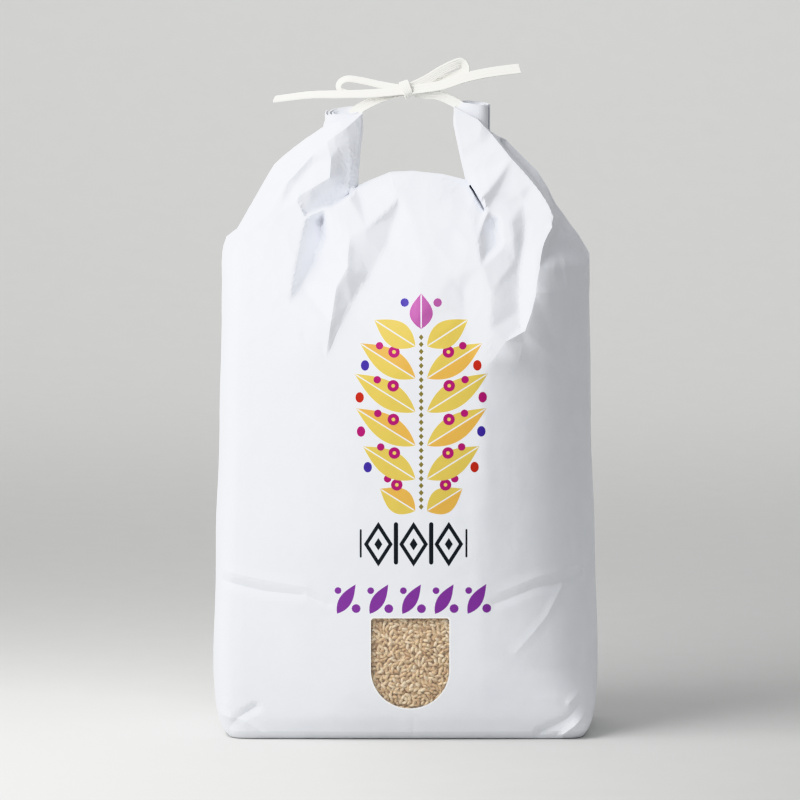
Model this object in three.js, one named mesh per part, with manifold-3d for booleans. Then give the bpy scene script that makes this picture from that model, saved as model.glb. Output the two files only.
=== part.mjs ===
// Rice sack: a block-bottom bag of white coated kraft paper, filled with brown rice and standing on its base.
// Its mouth is rolled down, the two ends of the roll are bent up as ears, and a flat paper string ties them
// in a bow, which leaves a hand-hold between the ears. A clear window near the base shows the grains.
// Millimetres, +Z up, front towards -Y, origin at the middle of the base.

import * as THREE from 'three';
import { mergeVertices } from 'three/addons/utils/BufferGeometryUtils.js';
import Module from 'manifold-3d';

const wasm = await Module();
wasm.setup();

// Cross-sections of the filled bag, from the base to the ear tops.
// halfWidth reaches the middle of the side gussets; leftFold and rightFold are where the front panel
// meets them; halfDepth is the depth there; swell is how far the panels bulge beyond it.
const SECTIONS = [
  { z: 0, halfWidth: 109, leftFold: -106.5, rightFold: 107, halfDepth: 49, swell: 1 },
  { z: 4, halfWidth: 112, leftFold: -109.5, rightFold: 109.5, halfDepth: 51.5, swell: 2.5 },
  { z: 14, halfWidth: 115.8, leftFold: -112.5, rightFold: 112, halfDepth: 53.5, swell: 5 },
  { z: 35, halfWidth: 117.4, leftFold: -113.5, rightFold: 112, halfDepth: 54.5, swell: 7 },
  { z: 62, halfWidth: 117, leftFold: -113, rightFold: 110, halfDepth: 54.5, swell: 7.5 },
  { z: 88, halfWidth: 115.8, leftFold: -111.5, rightFold: 107, halfDepth: 54, swell: 7.5 },
  { z: 125, halfWidth: 115, leftFold: -110, rightFold: 104.5, halfDepth: 54, swell: 8 },
  { z: 180, halfWidth: 113, leftFold: -108, rightFold: 101, halfDepth: 53.5, swell: 8 },
  { z: 225, halfWidth: 111.8, leftFold: -107, rightFold: 95, halfDepth: 51, swell: 8 },
  { z: 250, halfWidth: 111.3, leftFold: -106.5, rightFold: 88, halfDepth: 47, swell: 7.5 },
  { z: 272, halfWidth: 111, leftFold: -106, rightFold: 83, halfDepth: 40, swell: 6.5 },
  { z: 292, halfWidth: 111, leftFold: -106, rightFold: 83, halfDepth: 30.5, swell: 5 },
  { z: 308, halfWidth: 111, leftFold: -106, rightFold: 88, halfDepth: 20.5, swell: 3.5 },
  { z: 320, halfWidth: 111, leftFold: -106, rightFold: 95, halfDepth: 13.5, swell: 2 },
  { z: 334, halfWidth: 111, leftFold: -106, rightFold: 100, halfDepth: 10, swell: 0.8 },
  { z: 350, halfWidth: 111, leftFold: -106, rightFold: 100, halfDepth: 9.4, swell: 0.3 },
  { z: 392, halfWidth: 111, leftFold: -106, rightFold: 100, halfDepth: 8.2, swell: 0 },
];
const EXTRA_LEVELS = [8, 24, 48, 75, 82, 95, 108, 145, 162, 200, 213, 238, 261, 282, 300, 314, 327];
const FRONT_COLUMNS = 34;
const BACK_COLUMNS = 16;
const SIDE_COLUMNS = 4;

// Creases pressed into the front panel, each strongest at its first end; a negative rise is a valley.
const FRONT_CREASES = [
  { from: [-59, 318], to: [-69, 260], rise: -6, reach: 11 },
  { from: [-35, 310], to: [-47, 226], rise: 5.5, reach: 14 },
  { from: [-14, 306], to: [-34, 258], rise: -5, reach: 17 },
  { from: [58, 312], to: [66, 284], rise: 4, reach: 9 },
  { from: [44, 300], to: [50, 228], rise: 3, reach: 18 },
  { from: [-109, 92], to: [-47, 84], rise: -1.8, reach: 9 },
  { from: [109, 92], to: [53, 84], rise: -1.8, reach: 9 },
];

// Outline of the whole bag seen from the front, clockwise from the lower left: shoulder, left ear, crown
// of the rolled mouth, right ear, shoulder.
const FRONT_OUTLINE = [
  [-125, -5], [-125, 285], [-110.7, 290], [-110.1, 295], [-107, 300.5], [-98, 309.8], [-92.6, 319.5],
  [-87.1, 329.2], [-81.7, 339], [-73.8, 348.7], [-61.1, 358.4], [-49.6, 367], [-49, 373], [-43, 376.4],
  [-35, 379], [-27.8, 380.6], [-26.5, 374], [-28.4, 358.5], [-30.3, 343.3], [-31.5, 329], [-22.4, 331.5],
  [-9.1, 336.8], [4.1, 337.6], [22.3, 335.6], [37.5, 331.5], [34.7, 347.3], [30.6, 367.3], [29.2, 378],
  [32.7, 381.6], [43.6, 382], [50.4, 380], [51.8, 368.2], [60.5, 358.4], [70.2, 348.7], [79.9, 339],
  [85.3, 329.2], [90.1, 319.5], [98, 309.8], [105.9, 300], [109.5, 290.3], [125, 280], [125, -5],
];

// The roll of the mouth, wound towards the back: a flat band along the crown and up the back of both ears.
const ROLL_OUTLINE = [
  [-48.5, 370], [-34.5, 378], [-28, 379.5], [-29, 357], [-32, 328.5], [-22, 331], [-9, 336], [4, 337],
  [22, 335], [38, 331], [35, 347], [31, 367], [30.2, 379], [33, 381], [50, 379], [51, 368], [56, 347],
  [58, 330], [50, 311], [20, 313.5], [0, 314.5], [-20, 313], [-46, 309], [-54, 330], [-51, 350],
];
const ROLL_FRONT_Y = 4;
const ROLL_BACK_Y = 15;
const ROLL_GROOVE = { width: 1.1, depth: 7, offsets: [-3.6, 2.2, 8.2] };

// Side gussets folded in under the ears. At each level the front flank and the back flank run out to a lip,
// and the paper between them goes in as a narrow slit to the inner fold. lip, inner, frontFlank and
// backFlank are x; the flanks are met at y = -TUCK_REACH and +TUCK_REACH; lipY is the front lip's depth.
const TUCK_REACH = 60;
const RIGHT_TUCK = [
  { z: 268, lip: 114, inner: 113, frontFlank: 114, backFlank: 114, lipY: 0, gap: 0.4 },
  { z: 283, lip: 112, inner: 110.5, frontFlank: 68, backFlank: 107, lipY: 0, gap: 0.8 },
  { z: 296, lip: 107.5, inner: 95, frontFlank: 61, backFlank: 91, lipY: 1, gap: 3 },
  { z: 306, lip: 100.5, inner: 87, frontFlank: 70, backFlank: 62, lipY: 2, gap: 3.5 },
  { z: 320, lip: 89.8, inner: 74, frontFlank: 75, backFlank: 25, lipY: 3, gap: 3.5 },
  { z: 332, lip: 83.8, inner: 68, frontFlank: 58, backFlank: 5, lipY: 3, gap: 3.5 },
  { z: 347, lip: 71, inner: 56, frontFlank: 39, backFlank: -10, lipY: 3, gap: 3.5 },
  { z: 361, lip: 56.5, inner: 47, frontFlank: 25, backFlank: -20, lipY: 1, gap: 3.5 },
  { z: 372, lip: 52.5, inner: 46, frontFlank: 40, backFlank: 40, lipY: 0.5, gap: 3 },
  { z: 396, lip: 52.5, inner: 46, frontFlank: 40, backFlank: 40, lipY: 0.5, gap: 3 },
];
const LEFT_TUCK = [
  { z: 265, lip: -114, inner: -113, frontFlank: -114, backFlank: -114, lipY: -0.4, gap: 0.4 },
  { z: 284, lip: -112.2, inner: -110.5, frontFlank: -108.5, backFlank: -106, lipY: -0.6, gap: 0.8 },
  { z: 293, lip: -110.8, inner: -98, frontFlank: -98.5, backFlank: -95, lipY: -2, gap: 3 },
  { z: 300, lip: -107.6, inner: -93, frontFlank: -88, backFlank: -78, lipY: -2, gap: 3.5 },
  { z: 313, lip: -96.6, inner: -81, frontFlank: -57, backFlank: -42, lipY: -2, gap: 3.5 },
  { z: 332, lip: -86, inner: -69, frontFlank: -21, backFlank: -5, lipY: -2, gap: 3.5 },
  { z: 349, lip: -73.8, inner: -57, frontFlank: 10, backFlank: 10, lipY: -2, gap: 3.5 },
  { z: 362, lip: -57, inner: -47, frontFlank: 10, backFlank: 10, lipY: -3, gap: 3.5 },
  { z: 372, lip: -50, inner: -44, frontFlank: -40, backFlank: -40, lipY: -3, gap: 3 },
  { z: 396, lip: -50, inner: -44, frontFlank: -40, backFlank: -40, lipY: -3, gap: 3 },
];

// Clear window: an upright opening with a half-round lower end.
const WINDOW = { centreX: 2.4, halfWidth: 23.4, bottom: 19.6, top: 74.4, corner: 1.2 };
const POCKET_DEPTH = 7;
const CLEARANCE = 0.3;
const FILM = { outer: 0.4, inner: 1.0 };
const RICE_CORE = { outer: 3.5, inner: POCKET_DEPTH - CLEARANCE };

// Grains of brown rice.
const GRAIN = { length: 5.1, width: 2.9, thickness: 2.1, depth: 2.85 };
const GRAIN_SPACING = { along: 4.5, up: 4.0 };
const GRAIN_SEED = 417;

// Flat paper string.
const STRING_WIDTH = 6;
const STRING_THICKNESS = 1.1;
const STRING_STEPS = 12;

const steps = (count) => Array.from({ length: count }, (_, index) => index);
const mix = (a, b, share) => a + (b - a) * share;

// Closed THREE geometry to solid and back.
function toSolid(geometry) {
  const bare = geometry.clone();
  bare.deleteAttribute('normal');
  bare.deleteAttribute('uv');
  const merged = mergeVertices(bare, 1e-4);
  return new wasm.Manifold(new wasm.Mesh({
    numProp: 3,
    vertProperties: new Float32Array(merged.attributes.position.array),
    triVerts: new Uint32Array(merged.index.array),
  }));
}

function toGeometry(solid) {
  const mesh = solid.getMesh();
  const geometry = new THREE.BufferGeometry();
  geometry.setAttribute('position', new THREE.BufferAttribute(mesh.vertProperties, 3));
  geometry.setIndex(new THREE.BufferAttribute(mesh.triVerts, 1));
  geometry.computeVertexNormals();
  return geometry;
}

// Solid between closed sections that all have the same number of points, with flat ends.
function loft(sections) {
  const count = sections[0].length;
  const positions = sections.flat(2);
  const triangles = [];
  for (let level = 0; level + 1 < sections.length; level += 1) {
    for (const column of steps(count)) {
      const a = level * count + column;
      const b = level * count + (column + 1) % count;
      triangles.push(a, b, b + count, a, b + count, a + count);
    }
  }
  for (const [ring, flip] of [[0, true], [sections.length - 1, false]]) {
    const middle = positions.length / 3;
    const points = sections[ring];
    positions.push(...[0, 1, 2].map((axis) => points.reduce((sum, point) => sum + point[axis], 0) / count));
    for (const column of steps(count)) {
      const a = ring * count + column;
      const b = ring * count + (column + 1) % count;
      triangles.push(middle, ...(flip ? [b, a] : [a, b]));
    }
  }
  const geometry = new THREE.BufferGeometry();
  geometry.setAttribute('position', new THREE.Float32BufferAttribute(positions, 3));
  geometry.setIndex(triangles);
  return toSolid(geometry);
}

// Solid of a front-view outline, between two depths.
function slab(shape, fromY, toY) {
  const geometry = new THREE.ExtrudeGeometry(shape, { depth: toY - fromY, bevelEnabled: false, curveSegments: 10 });
  geometry.rotateX(Math.PI / 2);
  geometry.translate(0, toY, 0);
  return toSolid(geometry);
}

const outlineShape = (points) => new THREE.Shape(points.map(([x, z]) => new THREE.Vector2(x, z)));

// Bag body
function sectionAt(z) {
  const upper = Math.max(1, SECTIONS.findIndex((section) => section.z >= z));
  const [below, above] = [SECTIONS[upper - 1], SECTIONS[upper]];
  const share = (z - below.z) / (above.z - below.z);
  const blend = (name) => mix(below[name], above[name], share);
  return Object.fromEntries(Object.keys(below).map((name) => [name, blend(name)]));
}

function creaseRise(x, z, crease) {
  const [dx, dz] = [crease.to[0] - crease.from[0], crease.to[1] - crease.from[1]];
  const along = ((x - crease.from[0]) * dx + (z - crease.from[1]) * dz) / (dx * dx + dz * dz);
  const share = THREE.MathUtils.clamp(along, 0, 1);
  const distance = Math.hypot(x - crease.from[0] - share * dx, z - crease.from[1] - share * dz);
  return crease.rise * (1 - share * share) * Math.max(0, 1 - distance / crease.reach);
}

// Closed loop of [x, y] points round the bag at one height, anticlockwise from the left front fold.
function ringAt(z) {
  const s = sectionAt(z);
  const swollen = (share) => s.swell * (1 - (2 * share - 1) ** 2);
  const front = steps(FRONT_COLUMNS).map((index) => {
    const share = index / FRONT_COLUMNS;
    return [mix(s.leftFold, s.rightFold, share), -s.halfDepth - swollen(share)];
  });
  const side = (from, to) => steps(SIDE_COLUMNS).map((index) => {
    const share = index / SIDE_COLUMNS;
    return [mix(from[0], to[0], share), mix(from[1], to[1], share)];
  });
  const backHalf = -s.leftFold;
  const back = steps(BACK_COLUMNS).map((index) => {
    const share = index / BACK_COLUMNS;
    return [mix(backHalf, -backHalf, share), s.halfDepth + swollen(share)];
  });
  let ring = [
    ...front,
    ...side([s.rightFold, -s.halfDepth], [s.halfWidth, 0]),
    ...side([s.halfWidth, 0], [backHalf, s.halfDepth]),
    ...back,
    ...side([-backHalf, s.halfDepth], [-s.halfWidth, 0]),
    ...side([-s.halfWidth, 0], [s.leftFold, -s.halfDepth]),
  ];
  for (const _ of [1, 2]) {
    ring = ring.map(([x, y], index) => {
      const before = ring[(index + ring.length - 1) % ring.length];
      const after = ring[(index + 1) % ring.length];
      return [(before[0] + 2 * x + after[0]) / 4, (before[1] + 2 * y + after[1]) / 4];
    });
  }
  // Rounding the corners draws the loop in a little, so it is stretched back to its full size.
  const [widest, deepest] = [0, 1].map((axis) => [-1, 1].map((way) => Math.max(...ring.map((p) => way * p[axis]))));
  const stretch = (value, size, reach) => value * size / reach[value < 0 ? 0 : 1];
  return ring.map(([narrow, shallow], index) => {
    const x = stretch(narrow, s.halfWidth, widest);
    const y = stretch(shallow, s.halfDepth + s.swell, deepest);
    const creased = index > 0 && index < FRONT_COLUMNS;
    const rise = creased ? FRONT_CREASES.reduce((sum, crease) => sum + creaseRise(x, z, crease), 0) : 0;
    return [x, y - rise];
  });
}

function frontY(x, z) {
  const ring = ringAt(z);
  const index = steps(FRONT_COLUMNS).find((column) => ring[column][0] <= x && ring[column + 1][0] > x);
  const [a, b] = [ring[index], ring[index + 1]];
  return mix(a[1], b[1], (x - a[0]) / (b[0] - a[0]));
}

function tuck(levels) {
  return loft(levels.map(({ z, lip, inner, frontFlank, backFlank, lipY, gap }) => {
    const outerX = lip + Math.sign(lip) * 30;
    const corners = [
      [inner, lipY + gap / 2], [lip, lipY], [frontFlank, -TUCK_REACH], [outerX, -TUCK_REACH],
      [outerX, TUCK_REACH], [backFlank, TUCK_REACH], [lip, lipY + gap],
    ];
    const ordered = lip > 0 ? corners : [...corners].reverse();
    return ordered.map(([x, y]) => [x, y, z]);
  }));
}

function rollGrooves() {
  const box = (fromX, toX, y, topZ) => {
    const size = [toX - fromX, ROLL_GROOVE.width, ROLL_GROOVE.depth + 10];
    const geometry = new THREE.BoxGeometry(...size);
    geometry.translate((fromX + toX) / 2, y, topZ + 10 - size[2] / 2);
    return toSolid(geometry);
  };
  const grooves = ROLL_GROOVE.offsets.flatMap((y) => [box(-46, -38, y, 374), box(43, 49, y, 380)]);
  return grooves.reduce((all, groove) => all.add(groove));
}

function wholeBag() {
  const levels = [...SECTIONS.map((section) => section.z), ...EXTRA_LEVELS].sort((a, b) => a - b);
  const body = loft(levels.map((z) => ringAt(z).map(([x, y]) => [x, y, z])));
  const roll = slab(outlineShape(ROLL_OUTLINE), ROLL_FRONT_Y, ROLL_BACK_Y);
  const outline = slab(outlineShape(FRONT_OUTLINE), -80, 80);
  return body.subtract(tuck(RIGHT_TUCK)).subtract(tuck(LEFT_TUCK)).add(roll).intersect(outline)
    .subtract(rollGrooves());
}

// Window
function windowPrism(inset) {
  const half = WINDOW.halfWidth - inset;
  const corner = WINDOW.corner;
  const [left, right] = [WINDOW.centreX - half, WINDOW.centreX + half];
  const [top, arcZ] = [WINDOW.top - inset, WINDOW.bottom + WINDOW.halfWidth];
  const shape = new THREE.Shape();
  shape.moveTo(left, arcZ);
  shape.absarc(WINDOW.centreX, arcZ, half, Math.PI, 2 * Math.PI, false);
  shape.lineTo(right, top - corner);
  shape.lineTo(right - corner, top);
  shape.lineTo(left + corner, top);
  shape.lineTo(left, top - corner);
  return slab(shape, -80, -30);
}

// Layer of the front wall between two depths below its surface, inside the window.
function windowLayer(bag, outer, inner, inset) {
  const shell = bag.translate([0, outer, 0]).subtract(bag.translate([0, inner, 0]));
  return shell.intersect(windowPrism(inset));
}

// Rice
function insideWindow(x, z, margin) {
  const arcZ = WINDOW.bottom + WINDOW.halfWidth;
  const dx = x - WINDOW.centreX;
  const reach = WINDOW.halfWidth - margin;
  return z < WINDOW.top - margin && (z > arcZ ? Math.abs(dx) < reach : Math.hypot(dx, z - arcZ) < reach);
}

function makeRandom(seed) {
  let state = seed;
  return () => {
    state = (state * 16807) % 2147483647;
    return state / 2147483647;
  };
}

function grain(x, z, random) {
  const geometry = new THREE.SphereGeometry(1, 6, 3);
  geometry.scale(GRAIN.length / 2, GRAIN.width / 2, GRAIN.thickness / 2);
  geometry.rotateX(Math.PI / 2);
  geometry.rotateZ((random() - 0.5) * 0.3);
  geometry.rotateY(random() * Math.PI);
  geometry.translate(x, frontY(x, z) + GRAIN.depth + (random() - 0.5) * 0.3, z);
  return toSolid(geometry);
}

function riceBehindWindow(bag) {
  const random = makeRandom(GRAIN_SEED);
  const grains = [];
  for (let row = 0; WINDOW.bottom + row * GRAIN_SPACING.up < WINDOW.top; row += 1) {
    for (let column = -6; column <= 6; column += 1) {
      const shift = (row % 2) / 2;
      const x = WINDOW.centreX + (column + shift + (random() - 0.5) * 0.35) * GRAIN_SPACING.along;
      const z = WINDOW.bottom + (row + (random() - 0.5) * 0.35) * GRAIN_SPACING.up;
      if (insideWindow(x, z, 1.2)) grains.push(grain(x, z, random));
    }
  }
  const core = windowLayer(bag, RICE_CORE.outer, RICE_CORE.inner, CLEARANCE);
  return grains.reduce((rice, single) => rice.add(single), core).intersect(windowPrism(CLEARANCE));
}

// String: a flat strip along a path; lean turns its face about the path, in degrees from facing the front.
function strip(path, { steps: count = STRING_STEPS, lean = 0, width = STRING_WIDTH,
  thickness = STRING_THICKNESS } = {}) {
  const curve = new THREE.CatmullRomCurve3(path.map((point) => new THREE.Vector3(...point)));
  const turn = THREE.MathUtils.degToRad(lean);
  const sections = steps(count + 1).map((index) => {
    const point = curve.getPointAt(index / count);
    const ahead = curve.getTangentAt(index / count);
    const across = new THREE.Vector3(0, -1, 0).cross(ahead).normalize().applyAxisAngle(ahead, turn);
    const normal = new THREE.Vector3().crossVectors(ahead, across).normalize();
    return [[-1, -1], [1, -1], [1, 1], [-1, 1]].map(([u, v]) => point.clone()
      .addScaledVector(across, u * width / 2).addScaledVector(normal, v * thickness / 2).toArray());
  });
  return loft(sections);
}

const LEFT_LEAD = [[-0.6, 0.4, 386], [-9.7, 1, 384.3], [-18.8, 1, 381], [-27, 0.8, 376.8], [-33, 0.6, 372.5]];
const RIGHT_LEAD = [[3, 0.4, 386.5], [11.5, 1, 384.6], [20, 1, 384], [30, 0.8, 379.6], [37, 0.6, 374.5]];
const LEFT_TAIL = [[-0.5, -2.2, 387.2], [-18.8, -3.2, 385.4], [-39.9, -3, 384.8], [-58, -2.6, 384.4],
  [-79.3, -2, 381.8]];
const RIGHT_TAIL = [[2, -2.2, 387.4], [20.6, -3.4, 390.1], [35.7, -3.2, 394.8], [50.8, -2.6, 398], [68.4, -2, 400.3]];
const LEFT_LOOP = [[-1, -0.6, 388.2], [-14, 1.2, 390.2], [-26, 1.6, 393], [-34, 1.6, 393.2], [-38, 2.6, 389.4],
  [-33, 3.8, 386.6], [-22, 4, 386.4], [-1, 2.4, 387.2]];
const RIGHT_LOOP_FRONT = [[2.2, -0.6, 388.6], [11.5, 0.4, 392.8], [21, 0.6, 398.6], [29, 0.8, 402.6], [34, 1.6, 403.6]];
const RIGHT_LOOP_BACK = [[34, 1.6, 403.6], [35.2, 2.6, 398.4], [26, 3.4, 394.4], [14, 3.2, 391.6], [2.2, 2.2, 388]];
const LEAD_POCKET = { width: STRING_WIDTH + 2 * CLEARANCE, thickness: STRING_THICKNESS + 2 * CLEARANCE };

function knot() {
  const core = new THREE.SphereGeometry(1, 10, 6);
  core.scale(5.2, 4, 4.4);
  core.translate(0.6, 0.2, 387.6);
  const wrap = strip([[-0.8, -3.6, 391.6], [0.2, -4.4, 388.6], [1.4, -4.2, 385.4], [2.2, -2.6, 382.8]],
    { steps: 5, lean: -8, width: 5 });
  return toSolid(core).add(wrap);
}

function tieString() {
  const leads = strip(LEFT_LEAD).add(strip(RIGHT_LEAD));
  const tails = strip(LEFT_TAIL, { lean: 24 }).add(strip(RIGHT_TAIL, { lean: -12 }));
  const loops = strip(LEFT_LOOP, { steps: 20, lean: 52, width: 5.4 })
    .add(strip(RIGHT_LOOP_FRONT)).add(strip(RIGHT_LOOP_BACK, { lean: 20 }));
  return knot().add(leads).add(tails).add(loops);
}

// The lead's last stretch beyond its end, so that the pocket ends a little past the string.
function leadPocket(path) {
  const [before, end] = path.slice(-2).map((point) => new THREE.Vector3(...point));
  const beyond = end.clone().add(end.clone().sub(before).setLength(CLEARANCE));
  return strip([...path.slice(0, -1), beyond.toArray()], LEAD_POCKET);
}

// Materials and assembly
const PAPER = new THREE.MeshStandardMaterial({ color: 0xeeeff3, roughness: 0.55, metalness: 0 });
const STRING = new THREE.MeshStandardMaterial({ color: 0xf1eee6, roughness: 0.8, metalness: 0 });
const CLEAR_FILM = new THREE.MeshStandardMaterial({ color: 0xf4f2ee, roughness: 0.12, metalness: 0, transparent: true,
  opacity: 0.2 });
const RICE = new THREE.MeshStandardMaterial({ color: 0xbf9f7c, roughness: 0.7, metalness: 0 });

function part(name, solid, material) {
  const mesh = new THREE.Mesh(toGeometry(solid), material);
  mesh.name = name;
  return mesh;
}

const bag = wholeBag();
const recess = windowPrism(0).subtract(bag.translate([0, POCKET_DEPTH, 0]));
const sack = bag.subtract(recess).subtract(leadPocket(LEFT_LEAD)).subtract(leadPocket(RIGHT_LEAD));

const riceSack = new THREE.Group();
riceSack.name = 'rice_sack';
riceSack.add(part('sack', sack, PAPER));
riceSack.add(part('window_film', windowLayer(bag, FILM.outer, FILM.inner, CLEARANCE), CLEAR_FILM));
riceSack.add(part('rice', riceBehindWindow(bag), RICE));
riceSack.add(part('tie_string', tieString(), STRING));

export default riceSack;
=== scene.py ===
import math

import bmesh
import bpy
import numpy as np
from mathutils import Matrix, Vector, noise
from mathutils.geometry import delaunay_2d_cdt


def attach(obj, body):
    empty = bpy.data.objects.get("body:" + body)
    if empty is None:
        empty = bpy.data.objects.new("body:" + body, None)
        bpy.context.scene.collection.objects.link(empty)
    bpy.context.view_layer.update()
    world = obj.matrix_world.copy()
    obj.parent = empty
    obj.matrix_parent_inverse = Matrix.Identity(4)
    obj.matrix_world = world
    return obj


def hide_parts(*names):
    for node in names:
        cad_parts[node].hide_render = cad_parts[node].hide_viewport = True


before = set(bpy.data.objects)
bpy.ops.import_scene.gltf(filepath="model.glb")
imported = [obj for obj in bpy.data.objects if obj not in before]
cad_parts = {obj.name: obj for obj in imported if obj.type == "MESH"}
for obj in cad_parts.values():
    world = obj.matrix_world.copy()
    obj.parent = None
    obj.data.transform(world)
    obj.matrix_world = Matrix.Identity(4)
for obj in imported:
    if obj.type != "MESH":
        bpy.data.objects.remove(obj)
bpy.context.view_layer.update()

# ---------------------------------------------------------------------------
# Paper sack: a block-bottom bag of white coated kraft, glued up one back seam and folded flat at the base,
# filled with rice. Its mouth is rolled towards the back and the roll's two ends are bent up as ears. The
# paper is stiff, so it breaks into flat facets between sharp folds wherever the bag narrows.
# ---------------------------------------------------------------------------

# All lengths are millimetres until a mesh is made. Each section: height, half width at the gusset middle,
# left and right front folds, half depth, swell of the panels.
SECTIONS = np.array([
    (0, 109, -106.5, 107, 49, 1), (4, 112, -109.5, 109.5, 51.5, 2.5), (14, 115.8, -112.5, 112, 53.5, 5),
    (35, 117.4, -113.5, 112, 54.5, 7), (62, 117, -113, 110, 54.5, 7.5), (88, 115.8, -111.5, 107, 54, 7.5),
    (125, 115, -110, 104.5, 54, 8), (180, 113, -108, 101, 53.5, 8), (225, 111.8, -107, 95, 51, 8),
    (250, 111.3, -106.5, 88, 47, 7.5), (272, 111, -106, 83, 40, 6.5), (292, 111, -106, 83, 30.5, 5),
    (308, 111, -106, 88, 20.5, 3.5), (320, 111, -106, 95, 13.5, 2), (334, 111, -106, 100, 10, 0.8),
    (350, 111, -106, 100, 9.4, 0.3), (392, 111, -106, 100, 8.2, 0)])
LEVEL_STEP = 2.0
PANEL, GUSSET = 226, 54  # flat width of the front or back panel, and of half a gusset
COLUMNS = (34, 4, 4, 16, 4, 4)  # mesh columns of the front, the right gusset's halves, the back, the left one's
FINE = 8  # fine columns to each of them
LEFT_FOLD = -PANEL // 2
MIDDLE = PANEL // 2 + GUSSET
ROUND = 2 * (PANEL + 2 * GUSSET)
CORNER_COLUMN, CORNER_REACH = 32.5, 5.5
FACET_TURN = 8.5


def ramp(value, start, end):
    """0 at start, 1 at end and even in between."""
    return np.clip((value - start) / (end - start), 0, 1)


def evened(values, times):
    """Values along a line, each drawn towards its neighbours a number of times; the ends stay."""
    values = np.array(values, float)
    for _ in range(times):
        values[1:-1] = (values[:-2] + 2 * values[1:-1] + values[2:]) / 4
    return values


def evened_round(points):
    return (np.roll(points, 1, 0) + 2 * points + np.roll(points, -1, 0)) / 4


def smooth_sections():
    """The section table at every level, eased above the crisp base, with two more columns."""
    levels = np.arange(0, SECTIONS[-1, 0] + LEVEL_STEP, LEVEL_STEP)
    table = np.stack([np.interp(levels, SECTIONS[:, 0], SECTIONS[:, k]) for k in range(1, 6)], axis=1)
    for _ in range(24):
        table += (evened(table, 1) - table) * ramp(levels, 8, 32)[:, None]
    # The right front corner is soft where the rice fills it, and sharp at the base and below the ear. The
    # right fifth of the panel turns away as a flat facet above the crease that crosses it.
    soft_corner = ramp(levels, 8, 42) * ramp(levels, 268, 223)
    facet = ramp(levels, 25, 100) * ramp(levels, 262, 217)
    return np.column_stack([table, soft_corner, facet])


def loop_round_bag(half_width, left, right, half_depth, swell, soft_corner, facet):
    """Points round the bag at one level, from the left front fold over the front, the right and the back."""
    corners = [(left, -half_depth), (right, -half_depth), (half_width, 0),
               (-left, half_depth), (left, half_depth), (-half_width, 0)]
    runs = []
    for a, b, count, bow in zip(corners, corners[1:] + corners[:1], COLUMNS, (-swell, 0, 0, swell, 0, 0)):
        t = np.arange(count) / count
        run = np.outer(1 - t, a) + np.outer(t, b)
        run[:, 1] += bow * (1 - (2 * t - 1) ** 2)
        runs.append(run)
    points = evened_round(evened_round(np.vstack(runs)))
    corner = soft_corner * np.exp(-((np.arange(len(points)) - CORNER_COLUMN) / CORNER_REACH) ** 2)[:, None]
    for _ in range(26):
        points += corner * (evened_round(points) - points)
    size = np.array([half_width, half_depth + swell])
    points = np.where(points < 0, points * size / -points.min(0), points * size / points.max(0))
    points[:, 1] += FACET_TURN * facet * (ramp(points[:, 0], 46, 100) * ramp(points[:, 1], 0, -30))
    return points


def finer_loops(loops):
    """Smooth curves through the points of each loop."""
    before, here, after, beyond = (np.roll(loops, k, 1) for k in (1, 0, -1, -2))
    parts = []
    for k in range(FINE):
        t = k / FINE
        parts.append(0.5 * (2 * here + (after - before) * t
                            + (2 * before - 5 * here + 4 * after - beyond) * t * t
                            + (3 * here - before - 3 * after + beyond) * t ** 3))
    return np.stack(parts, 2).reshape(len(loops), -1, 2)


LOOPS = finer_loops(np.stack([loop_round_bag(*row) for row in smooth_sections()]))
KNOT_S = np.cumsum((LEFT_FOLD,) + (PANEL, GUSSET, GUSSET) * 2)
KNOT_Q = np.cumsum((0,) + COLUMNS)


def on_bag(s, z):
    """Points [x, y] of the smooth bag at distance s round it, from the middle of the front, and height z."""
    s, z = np.broadcast_arrays(np.asarray(s, float), np.asarray(z, float))
    q = np.interp((s - LEFT_FOLD) % ROUND + LEFT_FOLD, KNOT_S, KNOT_Q) * FINE
    row = np.clip(z / LEVEL_STEP, 0, len(LOOPS) - 1.001)
    i, j = row.astype(int), q.astype(int)
    fi, fj = (row - i)[..., None], (q - j)[..., None]
    n = LOOPS.shape[1]
    low = LOOPS[i, j % n] * (1 - fj) + LOOPS[i, (j + 1) % n] * fj
    high = LOOPS[i + 1, j % n] * (1 - fj) + LOOPS[i + 1, (j + 1) % n] * fj
    return low * (1 - fi) + high * fi


def round_bag(x, z, back=False):
    """Distance round the bag of the front, or back, point at x and height z."""
    s = np.linspace(MIDDLE, ROUND - MIDDLE, 400) if back else np.linspace(-MIDDLE, MIDDLE, 400)
    xs = on_bag(s, np.full_like(s, z))[:, 0]
    if back:
        xs, s = xs[::-1], s[::-1]
    return float(np.interp(x, np.maximum.accumulate(xs), s))


def unroll(line, back=False):
    """A line of x, z points of the front, or back, in the unrolled bag."""
    return [(round_bag(x, z, back), z) for x, z in line]


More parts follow.
